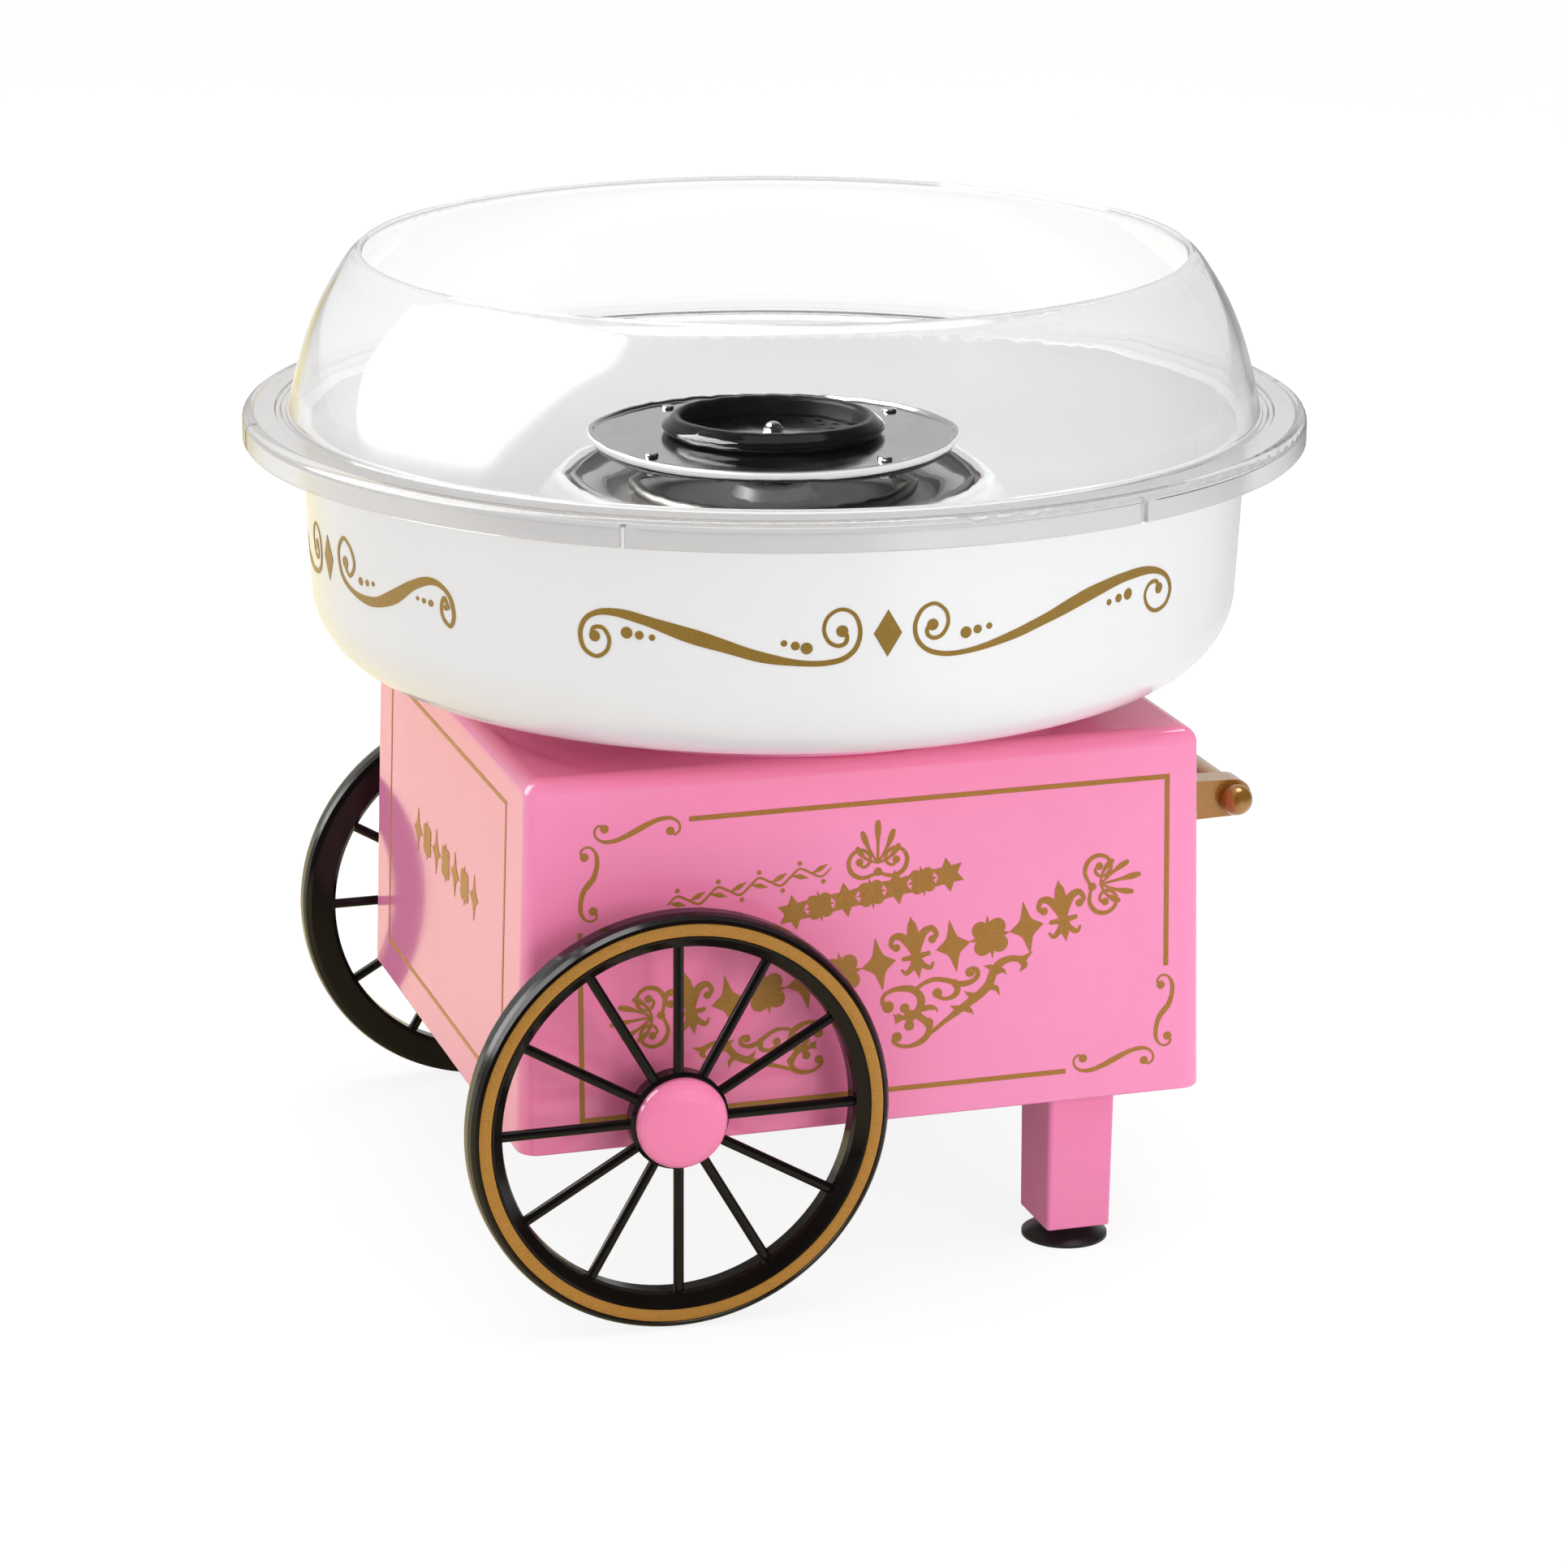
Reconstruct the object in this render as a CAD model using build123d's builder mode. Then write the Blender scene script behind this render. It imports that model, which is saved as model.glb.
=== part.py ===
from build123d import *
from math import atan, cos, degrees, pi, radians, sin
import os

# ------------------------------------------------------------------
# Tabletop cotton candy machine in the shape of a small cart.
# Millimetres. Origin on the ground under the spindle axis.
# +X runs along the cart towards the push handle, +Z is up.
# "Near" is the -Y long side, "far" is the +Y long side.
# ------------------------------------------------------------------

SIDES = ((-1, "near"), (1, "far"))      # sign of Y and the name used for it

# --- fits shared by many pieces ---
RUN_GAP = 0.05          # radial running clearance
TOUCH_GAP = 0.02        # gap between pieces that rest on each other
SCREW_CLEAR_R = 1.7     # small screws: clearance hole, pilot and shank
SCREW_PILOT_R = 1.45
SCREW_SHANK_R = 1.4
BASE_PILOT_R = 1.55     # screws in the posts and legs: pilot and shank
BASE_SHANK_R = 1.5

# --- cart housing, drafted inwards towards the top ---
HOUSING_X_MIN, HOUSING_X_MAX = -97.4, 98.4      # outside, at the bottom edge
HOUSING_HALF_Y = 88.6                           # outside, at the bottom edge
HOUSING_Z, HOUSING_TOP = 45.8, 149.06
HOUSING_INSET = 3.2                             # per side, over the height
HOUSING_WALL = 2.6
HOUSING_CORNER_R = 6.0
HOUSING_MID_X = (HOUSING_X_MIN + HOUSING_X_MAX) / 2
HOUSING_LENGTH = HOUSING_X_MAX - HOUSING_X_MIN
HOUSING_HEIGHT = HOUSING_TOP - HOUSING_Z
HOUSING_DRAFT = degrees(atan(HOUSING_INSET / HOUSING_HEIGHT))
INNER_LENGTH = HOUSING_LENGTH - 2 * HOUSING_WALL
INNER_WIDTH = 2 * (HOUSING_HALF_Y - HOUSING_WALL)
DECK_UNDERSIDE = HOUSING_TOP - HOUSING_WALL
DECK_HOLE_R = 52.0
POST_SPOTS = [(HOUSING_MID_X + sx * 84.0, sy * 75.0) for sx in (-1, 1) for sy in (-1, 1)]

# --- tower that carries bowl, heater and motor ---
SEAT_R = 84.0
SEAT_TOP = 157.4
TOWER_R = 56.6
TOWER_TOP = 203.2
TOWER_WALL = 2.6

# --- wheels and axle ---
WHEEL_R = 58.14
WHEEL_X, WHEEL_Z = -57.8, WHEEL_R       # the wheels stand on the ground
WHEEL_INNER_R = 48.5
WHEEL_OUTER_Y = 107.9
WHEEL_WIDTH = 9.6
AXLE_R = 3.0
AXLE_END_Y = 106.6

# --- legs, motor, handle, switch, cord and board ---
LEG_X, LEG_Y = 64.3, 72.5
LEG_SPOTS = [(LEG_X, -LEG_Y), (LEG_X, LEG_Y)]
LEG_Z = 5.6
MOTOR_R = 18.5
MOTOR_Z, MOTOR_TOP = 118.0, 176.0
PLATE_Z, PLATE_THICK = MOTOR_TOP, 1.6
PLATE_TOP = PLATE_Z + PLATE_THICK
HANDLE_X, HANDLE_Z = 119.9, 117.6
HANDLE_BALL_Y = 55.0
HANDLE_SCREW_Y = HANDLE_BALL_Y - 6.5
HANDLE_SCREW_SPOTS = [(-HANDLE_SCREW_Y, 0), (HANDLE_SCREW_Y, 0)]
SWITCH_X, SWITCH_Z = 60.0, 78.0
CORD_X, CORD_Z = 24.0, 60.0
BOARD_Z = 126.3
BOARD_POST_SPOTS = [(-84, -20), (-84, 20)]


def ring_points(radius, start, count=4, step=90):
    """Points on a circle about the spindle axis, angles in degrees."""
    angles = [radians(start + step * i) for i in range(count)]
    return [(radius * cos(a), radius * sin(a)) for a in angles]


SEAT_SCREW_SPOTS = ring_points(74.0, start=15)
BOSS_RING_R, BOSS_START = 44.0, 45
BOSS_SPOTS = ring_points(BOSS_RING_R, start=BOSS_START)
MOTOR_SCREW_SPOTS = [(12.5, 0), (-12.5, 0)]


def draft_inset(z):
    return HOUSING_INSET * (z - HOUSING_Z) / HOUSING_HEIGHT


def wall_y(z):
    """Outside half width of the drafted housing at height z."""
    return HOUSING_HALF_Y - draft_inset(z)


def wall_x(z):
    """Outside of the handle end of the drafted housing at height z."""
    return HOUSING_X_MAX - draft_inset(z)


SWITCH_Y = wall_y(SWITCH_Z)
CORD_Y = wall_y(CORD_Z)


def plane_facing_y(x, y, z, facing):
    """Upright plane with its normal along +Y (facing 1) or -Y (facing -1)."""
    return Plane(origin=(x, y, z), x_dir=(1, 0, 0), z_dir=(0, facing, 0))


def plane_facing_x(x, z, facing=1):
    """Upright plane on the XZ midplane of the cart; local x runs along world Y."""
    return Plane(origin=(x, 0, z), x_dir=(0, 1, 0), z_dir=(facing, 0, 0))


def wheel_section_plane(side):
    """Local x is the radius from the axle, local y is the outward axle direction."""
    return Plane(origin=(WHEEL_X, 0, WHEEL_Z), x_dir=(1, 0, 0), z_dir=(0, 0, side))


AXLE_LINE = Axis((WHEEL_X, 0, WHEEL_Z), (0, 1, 0))

os.makedirs("parts", exist_ok=True)


def save(builder, name):
    builder.part.label = name
    export_step(builder.part, f"parts/{name}.step")


def save_stacks(name, spots, discs, bore=0, cross=None):
    """The same upright stack of discs at every spot.

    discs: rows of base z, radius, height
    bore:  radius of the hole through every disc, 0 for none
    cross: base z, length, width and depth of a cross slot
    """
    with BuildPart() as piece:
        for base_z, radius, height in discs:
            with BuildSketch(Plane.XY.offset(base_z)):
                with Locations(*spots):
                    Circle(radius)
                    if bore:
                        Circle(bore, mode=Mode.SUBTRACT)
            extrude(amount=height)
        if cross:
            base_z, length, width, depth = cross
            with BuildSketch(Plane.XY.offset(base_z)):
                with Locations(*spots):
                    Rectangle(length, width)
                    Rectangle(width, length)
            extrude(amount=depth, mode=Mode.SUBTRACT)
    save(piece, name)


# ==================================================================
# Housing and base plate
# ==================================================================
def make_housing():
    through_deck = HOUSING_WALL + 2
    with BuildPart() as housing:
        with BuildSketch(Plane.XY.offset(HOUSING_Z)):
            with Locations((HOUSING_MID_X, 0)):
                RectangleRounded(HOUSING_LENGTH, 2 * HOUSING_HALF_Y, HOUSING_CORNER_R)
        extrude(amount=HOUSING_HEIGHT, taper=HOUSING_DRAFT)
        fillet(housing.faces().sort_by(Axis.Z)[-1].edges(), 4.5)
        fillet(housing.faces().sort_by(Axis.Z)[0].edges(), 0.8)
        # hollow
        with BuildSketch(Plane.XY.offset(HOUSING_Z)):
            with Locations((HOUSING_MID_X, 0)):
                RectangleRounded(INNER_LENGTH, INNER_WIDTH, HOUSING_CORNER_R - 1.5)
        extrude(amount=HOUSING_HEIGHT - HOUSING_WALL, taper=HOUSING_DRAFT, mode=Mode.SUBTRACT)
        # hole in the deck under the tower
        with BuildSketch(Plane.XY.offset(DECK_UNDERSIDE - 1)):
            Circle(DECK_HOLE_R)
        extrude(amount=through_deck, mode=Mode.SUBTRACT)
        # screw holes for the tower
        with BuildSketch(Plane.XY.offset(DECK_UNDERSIDE - 1)):
            with Locations(*SEAT_SCREW_SPOTS):
                Circle(SCREW_CLEAR_R)
        extrude(amount=through_deck, mode=Mode.SUBTRACT)
        # corner posts for the base plate screws
        with BuildSketch(Plane.XY.offset(HOUSING_Z + 2.6)):
            with Locations(*POST_SPOTS):
                Circle(4.0)
        extrude(amount=HOUSING_HEIGHT - HOUSING_WALL - 1.6)
        with BuildSketch(Plane.XY.offset(HOUSING_Z)):
            with Locations(*POST_SPOTS):
                Circle(BASE_PILOT_R)
        extrude(amount=18, mode=Mode.SUBTRACT)
        # axle holes with bosses inside
        for side in (-1, 1):
            boss_y = side * (HOUSING_HALF_Y - 1.0)
            with BuildSketch(plane_facing_y(WHEEL_X, boss_y, WHEEL_Z, -side)):
                Circle(8.0)
            extrude(amount=9.0)
        with BuildSketch(plane_facing_y(WHEEL_X, -100, WHEEL_Z, 1)):
            Circle(5.1)
        extrude(amount=200, mode=Mode.SUBTRACT)
        # switch opening and cord hole in the far wall
        with BuildSketch(plane_facing_y(SWITCH_X, 100, SWITCH_Z, -1)):
            Rectangle(19.2, 12.9)
        extrude(amount=24, mode=Mode.SUBTRACT)
        with BuildSketch(plane_facing_y(CORD_X, 100, CORD_Z, -1)):
            Circle(5.6)
        extrude(amount=24, mode=Mode.SUBTRACT)
        # handle screw holes in the end wall
        with BuildSketch(plane_facing_x(80, HANDLE_Z)):
            with Locations(*HANDLE_SCREW_SPOTS):
                Circle(SCREW_CLEAR_R)
        extrude(amount=30, mode=Mode.SUBTRACT)
        # board posts hang from the deck
        post_z = 128.0
        with BuildSketch(Plane.XY.offset(post_z)):
            with Locations(*BOARD_POST_SPOTS):
                Circle(3.2)
        extrude(amount=DECK_UNDERSIDE - post_z + 1)
        with BuildSketch(Plane.XY.offset(post_z - 1)):
            with Locations(*BOARD_POST_SPOTS):
                Circle(1.3)
        extrude(amount=12, mode=Mode.SUBTRACT)
    save(housing, "cart_housing")


def make_base_plate():
    """Plate inside the bottom edge of the housing."""
    edge_gap = 0.4
    cut_z, cut_depth = HOUSING_Z - 1, 5
    with BuildPart() as plate:
        with BuildSketch(Plane.XY.offset(HOUSING_Z)):
            with Locations((HOUSING_MID_X, 0)):
                RectangleRounded(INNER_LENGTH - 2 * edge_gap, INNER_WIDTH - 2 * edge_gap,
                                 HOUSING_CORNER_R - 2.0)
        extrude(amount=2.5)
        # screw holes with counterbores from below
        with Locations(*[Location((x, y, HOUSING_Z), (180, 0, 0)) for x, y in POST_SPOTS]):
            CounterBoreHole(radius=SCREW_CLEAR_R, counter_bore_radius=3.4,
                            counter_bore_depth=1.2, depth=3)
        # leg screw holes
        with BuildSketch(Plane.XY.offset(cut_z)):
            with Locations(*LEG_SPOTS):
                Circle(2.2)
        extrude(amount=cut_depth, mode=Mode.SUBTRACT)
        # cooling slots under the motor
        with BuildSketch(Plane.XY.offset(cut_z)):
            with GridLocations(9.0, 0, 7, 1):
                SlotOverall(44, 4.0, rotation=90)
        extrude(amount=cut_depth, mode=Mode.SUBTRACT)
        # clearance for the axle bosses
        with BuildSketch(Plane.XY.offset(cut_z)):
            with Locations((WHEEL_X, -(HOUSING_HALF_Y - 5)), (WHEEL_X, HOUSING_HALF_Y - 5)):
                Rectangle(18, 9.4)
        extrude(amount=cut_depth, mode=Mode.SUBTRACT)
    save(plate, "base_plate")


def make_base_screws():
    discs = [
        (HOUSING_Z + 0.1, 3.0, 1.05),
        (HOUSING_Z + 1.1, BASE_SHANK_R, 13),
    ]
    save_stacks("base_plate_screws", POST_SPOTS, discs, cross=(HOUSING_Z + 0.1, 3.4, 0.7, 0.6))


# ==================================================================
# Legs and feet
# ==================================================================
LEG_LENGTH_X, LEG_LENGTH_Y = 19.5, 23.0
LEG_NARROWING = 0.9         # the bottom is this much smaller, the taper opens upwards
FOOT_R = 12.0
# foot section: radius, z
FOOT_OUTLINE = [
    (0, 2.4), (8.6, 0.9), (10.4, 0), (FOOT_R, 0), (FOOT_R, 0.9), (8.2, 3.4),
    (6.4, 5.5), (3.5, 5.5), (3.5, 11.5), (0, 11.5),
]


def make_leg(side, side_name):
    spot = (LEG_X, side * LEG_Y)
    with BuildPart() as leg:
        with BuildSketch(Plane.XY.offset(LEG_Z)):
            with Locations(spot):
                RectangleRounded(LEG_LENGTH_X - LEG_NARROWING, LEG_LENGTH_Y - LEG_NARROWING, 1.2)
        extrude(amount=HOUSING_Z - LEG_Z, taper=-0.6)
        fillet(leg.faces().sort_by(Axis.Z)[0].edges(), 0.5)
        # screw pilot from above, foot stem bore from below
        with BuildSketch(Plane.XY.offset(HOUSING_Z - 14)):
            with Locations(spot):
                Circle(BASE_PILOT_R)
        extrude(amount=16, mode=Mode.SUBTRACT)
        with BuildSketch(Plane.XY.offset(LEG_Z - 1)):
            with Locations(spot):
                Circle(3.6)
        extrude(amount=8.2, mode=Mode.SUBTRACT)
    save(leg, f"leg_{side_name}")


def make_leg_screws():
    discs = [
        (HOUSING_Z + 2.5, 3.6, 2.2),
        (HOUSING_Z - 12, BASE_SHANK_R, 15),
    ]
    save_stacks("leg_screws", LEG_SPOTS, discs, cross=(HOUSING_Z + 4.0, 4.2, 0.8, 1))


def make_foot(side, side_name):
    centre = (LEG_X, side * LEG_Y, 0)
    with BuildPart() as foot:
        with BuildSketch(plane_facing_y(*centre, -1)):
            with BuildLine():
                Polyline(*FOOT_OUTLINE, close=True)
            make_face()
        revolve(axis=Axis(centre, (0, 0, 1)))
    save(foot, f"suction_foot_{side_name}")


# ==================================================================
# Axle group
# ==================================================================
def make_axle():
    with BuildPart() as axle:
        with BuildSketch(plane_facing_y(WHEEL_X, -AXLE_END_Y, WHEEL_Z, 1)):
            Circle(AXLE_R)
        extrude(amount=2 * AXLE_END_Y)
        chamfer(axle.edges().filter_by(GeomType.CIRCLE), 0.5)
    save(axle, "axle")


def make_axle_sleeves(name, sleeves):
    """Rings on both ends of the axle.

    sleeves: rows of start y, radius, length, direction (1 outwards, -1 inwards)
    """
    with BuildPart() as piece:
        for side in (-1, 1):
            for start_y, radius, length, direction in sleeves:
                start_plane = plane_facing_y(WHEEL_X, side * start_y, WHEEL_Z, side * direction)
                with BuildSketch(start_plane):
                    Circle(radius)
                    Circle(AXLE_R + RUN_GAP, mode=Mode.SUBTRACT)
                extrude(amount=length)
    save(piece, name)


def make_axle_clips():
    with BuildPart() as clips:
        for side in (-1, 1):
            with BuildSketch(plane_facing_y(WHEEL_X, side * 105.15, WHEEL_Z, side)):
                Circle(5.6)
                Circle(AXLE_R + TOUCH_GAP, mode=Mode.SUBTRACT)
                with PolarLocations(4.3, 4, start_angle=45):
                    Rectangle(2.0, 0.7, mode=Mode.SUBTRACT)
            extrude(amount=0.7)
    save(clips, "axle_clips")


# ==================================================================
# Wheels: one moulding each, with rim, spokes and hub
# ==================================================================
SPOKE_COUNT = 12
SPOKE_R = 1.42
WHEEL_HUB_R = 13.6
WHEEL_HUB_Y = 105.0         # outer face of the hub
WHEEL_BACK_Y = WHEEL_OUTER_Y - WHEEL_WIDTH
CAP_R = 12.5
CAP_BACK_Y = WHEEL_HUB_Y + 0.05

# Sections of the wheel and its cap: radius from the axle, distance out along it.
# Rim: rounded tread, shallow recess in the outer face, sloped inner band.
RIM_OUTLINE = [
    (WHEEL_INNER_R, WHEEL_BACK_Y + 1.2), (WHEEL_INNER_R + 1.2, WHEEL_BACK_Y),
    (WHEEL_R - 2.0, WHEEL_BACK_Y), (WHEEL_R - 0.5, WHEEL_BACK_Y + 0.9),
    (WHEEL_R, WHEEL_BACK_Y + 2.6), (WHEEL_R, WHEEL_OUTER_Y - 3.4),
    (WHEEL_R - 0.45, WHEEL_OUTER_Y - 1.5), (WHEEL_R - 1.3, WHEEL_OUTER_Y - 0.3),
    (WHEEL_R - 2.0, WHEEL_OUTER_Y), (WHEEL_R - 2.3, WHEEL_OUTER_Y - 0.4),
    (52.4, WHEEL_OUTER_Y - 0.4), (52.2, WHEEL_OUTER_Y - 0.05),
    (51.6, WHEEL_OUTER_Y - 0.2), (WHEEL_INNER_R + 0.5, WHEEL_OUTER_Y - 2.4),
    (WHEEL_INNER_R, WHEEL_OUTER_Y - 4.0),
]
# Hub, with a ring groove that takes the cap.
WHEEL_HUB_OUTLINE = [
    (AXLE_R + RUN_GAP, WHEEL_BACK_Y + 0.1), (8.5, WHEEL_BACK_Y + 0.1),
    (WHEEL_HUB_R - 0.6, WHEEL_BACK_Y + 1.2), (WHEEL_HUB_R, WHEEL_BACK_Y + 1.8),
    (WHEEL_HUB_R, WHEEL_HUB_Y - 0.8), (WHEEL_HUB_R - 0.8, WHEEL_HUB_Y),
    (10.15, WHEEL_HUB_Y), (10.15, 101.8), (8.35, 101.8), (8.35, WHEEL_HUB_Y),
    (AXLE_R + RUN_GAP, WHEEL_HUB_Y),
]
CAP_OUTLINE = [
    (0, 107.3), (7.2, 107.3), (7.2, CAP_BACK_Y), (8.4, CAP_BACK_Y), (8.4, 102.2),
    (10.1, 102.2), (10.1, CAP_BACK_Y), (CAP_R - 0.3, CAP_BACK_Y), (CAP_R, 105.35),
    (CAP_R, 106.6), (CAP_R - 0.25, 107.2), (CAP_R - 0.9, 107.75), (10.2, 108.25),
    (7.0, 108.75), (3.5, 109.02), (0, 109.1),
]


def make_wheel(side, side_name):
    spoke_start = WHEEL_HUB_R - 1.0
    spoke_end = WHEEL_INNER_R + 1.4
    spoke_y = side * (WHEEL_BACK_Y + 4.6)
    with BuildPart() as wheel:
        with BuildSketch(wheel_section_plane(side)):
            with BuildLine():
                Polyline(*RIM_OUTLINE, close=True)
            make_face()
            with BuildLine():
                Polyline(*WHEEL_HUB_OUTLINE, close=True)
            make_face()
        revolve(axis=AXLE_LINE)
        for i in range(SPOKE_COUNT):
            angle = radians(i * 360 / SPOKE_COUNT)
            dir_x, dir_z = cos(angle), sin(angle)
            start = (WHEEL_X + dir_x * spoke_start, spoke_y, WHEEL_Z + dir_z * spoke_start)
            with BuildSketch(Plane(origin=start, x_dir=(0, 1, 0), z_dir=(dir_x, 0, dir_z))):
                Circle(SPOKE_R)
            extrude(amount=spoke_end - spoke_start)
    save(wheel, f"wheel_{side_name}")


def make_hub_cap(side, side_name):
    with BuildPart() as cap:
        with BuildSketch(wheel_section_plane(side)):
            with BuildLine():
                Polyline(*CAP_OUTLINE, close=True)
            make_face()
        revolve(axis=AXLE_LINE)
    save(cap, f"hub_cap_{side_name}")


# ==================================================================
# Push handle on the end wall
# ==================================================================
CHEEK_HALF_HEIGHT = 5.3
CHEEK_THICK = 8.0


def make_push_handle():
    wall = wall_x(HANDLE_Z)
    bar_end_y = HANDLE_BALL_Y - 2
    root_half = CHEEK_HALF_HEIGHT + 0.6
    low_z, high_z = 60, 149
    root_back_x = wall_x(low_z) - 20
    with BuildPart() as handle:
        # cheeks with a round nose
        for side in (-1, 1):
            outboard_y = side * (HANDLE_BALL_Y - 2.2)
            with BuildSketch(plane_facing_y(0, outboard_y, HANDLE_Z, -1)):
                with BuildLine():
                    Polyline((HANDLE_X, CHEEK_HALF_HEIGHT), (wall - 0.4, root_half),
                             (wall + 0.2, -root_half), (HANDLE_X, -CHEEK_HALF_HEIGHT))
                    ThreePointArc((HANDLE_X, -CHEEK_HALF_HEIGHT),
                                  (HANDLE_X + CHEEK_HALF_HEIGHT, 0),
                                  (HANDLE_X, CHEEK_HALF_HEIGHT))
                make_face()
            extrude(amount=side * CHEEK_THICK)
        # cut the cheek roots back to the drafted wall
        with BuildSketch(Plane.XZ.offset(-80)):
            with BuildLine():
                Polyline((root_back_x, low_z), (wall_x(low_z) + 0.05, low_z),
                         (wall_x(high_z) + 0.05, high_z), (root_back_x, high_z), close=True)
            make_face()
        extrude(amount=160, mode=Mode.SUBTRACT)
        # crossbar with a ball at each end
        with BuildSketch(plane_facing_y(HANDLE_X, -bar_end_y, HANDLE_Z, 1)):
            Circle(4.0)
        extrude(amount=2 * bar_end_y)
        with Locations((HANDLE_X, -HANDLE_BALL_Y, HANDLE_Z), (HANDLE_X, HANDLE_BALL_Y, HANDLE_Z)):
            Sphere(4.5)
        # screw pilots along each cheek
        with BuildSketch(plane_facing_x(wall - 2, HANDLE_Z)):
            with Locations(*HANDLE_SCREW_SPOTS):
                Circle(SCREW_PILOT_R)
        extrude(amount=14, mode=Mode.SUBTRACT)
    save(handle, "push_handle")


def make_handle_screws():
    inner_wall = wall_x(HANDLE_Z) - HOUSING_WALL
    with BuildPart() as screws:
        with BuildSketch(plane_facing_x(inner_wall - 0.25, HANDLE_Z, -1)):
            with Locations(*HANDLE_SCREW_SPOTS):
                Circle(3.0)
        extrude(amount=2.0)
        with BuildSketch(plane_facing_x(inner_wall - 0.5, HANDLE_Z)):
            with Locations(*HANDLE_SCREW_SPOTS):
                Circle(SCREW_SHANK_R)
        extrude(amount=13)
    save(screws, "handle_screws")


# ==================================================================
# Tower
# ==================================================================
# seat and tube section: radius, z
TOWER_OUTLINE = [
    (SEAT_R, HOUSING_TOP + TOUCH_GAP), (SEAT_R, SEAT_TOP - 1.0), (SEAT_R - 1.0, SEAT_TOP),
    (TOWER_R, SEAT_TOP), (TOWER_R, TOWER_TOP), (TOWER_R - TOWER_WALL, TOWER_TOP),
    (TOWER_R - TOWER_WALL, SEAT_TOP - TOWER_WALL), (SEAT_R - TOWER_WALL, SEAT_TOP - TOWER_WALL),
    (SEAT_R - TOWER_WALL, HOUSING_TOP + TOUCH_GAP),
]


def make_tower():
    skirt_inner_r = DECK_HOLE_R - 2.3
    skirt_z = HOUSING_TOP - 3.0
    boss_z = SEAT_TOP - 1.6
    with BuildPart() as tower:
        with BuildSketch(Plane.XZ):
            with BuildLine():
                Polyline(*TOWER_OUTLINE, close=True)
            make_face()
        revolve(axis=Axis.Z)
        # skirt that drops into the deck hole
        with BuildSketch(Plane.XY.offset(skirt_z)):
            Circle(DECK_HOLE_R - 0.3)
            Circle(skirt_inner_r, mode=Mode.SUBTRACT)
        extrude(amount=SEAT_TOP - 1.5 - skirt_z)
        with BuildSketch(Plane.XY.offset(SEAT_TOP - TOWER_WALL)):
            Circle(TOWER_R + 1.0)
            Circle(skirt_inner_r, mode=Mode.SUBTRACT)
        extrude(amount=2.0)
        # seat screw bosses
        with BuildSketch(Plane.XY.offset(HOUSING_TOP + TOUCH_GAP)):
            with Locations(*SEAT_SCREW_SPOTS):
                Circle(4.0)
        extrude(amount=SEAT_TOP - 1.5 - HOUSING_TOP)
        with BuildSketch(Plane.XY.offset(HOUSING_TOP - 1)):
            with Locations(*SEAT_SCREW_SPOTS):
                Circle(SCREW_PILOT_R)
        extrude(amount=7.2, mode=Mode.SUBTRACT)
        # motor plate bosses inside, tied to the wall
        with BuildSketch(Plane.XY.offset(boss_z)):
            with PolarLocations(BOSS_RING_R, 4, start_angle=BOSS_START):
                Circle(4.4)
            with PolarLocations(BOSS_RING_R + 5.2, 4, start_angle=BOSS_START):
                Rectangle(11.2, 3.0)
        extrude(amount=PLATE_Z - 3.0 - boss_z)
        with BuildSketch(Plane.XY.offset(SEAT_TOP)):
            with Locations(*BOSS_SPOTS):
                Circle(SCREW_PILOT_R)
        extrude(amount=40, mode=Mode.SUBTRACT)
    save(tower, "tower")


def make_tower_screws():
    discs = [
        (DECK_UNDERSIDE - 2.1, 3.0, 2.05),
        (DECK_UNDERSIDE - 0.5, SCREW_SHANK_R, 7.0),
    ]
    save_stacks("tower_screws", SEAT_SCREW_SPOTS, discs)


# ==================================================================
# Heater pan, coil and supports
# ==================================================================
COIL_R, COIL_WIRE_R, COIL_Z = 39.0, 1.7, 203.9
TAIL_START, TAIL_SPREAD = 82, 16        # degrees; the ring is open between the tails
TAIL_SPOTS = ring_points(COIL_R, start=TAIL_START, count=2, step=TAIL_SPREAD)
TAIL_Z = 186
PAN_FLOOR_TOP = 199.4
# pan section: radius, z
PAN_OUTLINE = [
    (TOWER_R, TOWER_TOP + TOUCH_GAP), (TOWER_R, 206.9), (TOWER_R - 0.5, 207.5),
    (TOWER_R - 1.3, 207.5), (55.0, 206.6), (53.6, 204.7), (48.2, 203.9), (46.8, 203.0),
    (46.0, 200.2), (44.8, PAN_FLOOR_TOP), (12.6, PAN_FLOOR_TOP), (11.4, 200.4),
    (10.4, 203.4), (9.6, 204.0), (5.6, 204.0), (5.6, 203.2), (9.2, 203.2), (10.5, 199.6),
    (12.2, 198.4), (45.4, 198.4), (47.0, 199.6), (47.8, 202.4), (49.0, 203.0),
    (52.6, TOWER_TOP + TOUCH_GAP),
]


def make_heater_pan():
    with BuildPart() as pan:
        with BuildSketch(Plane.XZ):
            with BuildLine():
                Polyline(*PAN_OUTLINE, close=True)
            make_face()
        revolve(axis=Axis.Z)
        # holes for the two coil tails
        with BuildSketch(Plane.XY.offset(196)):
            with Locations(*TAIL_SPOTS):
                Circle(3.3)
        extrude(amount=6, mode=Mode.SUBTRACT)
    save(pan, "heater_pan")


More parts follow.
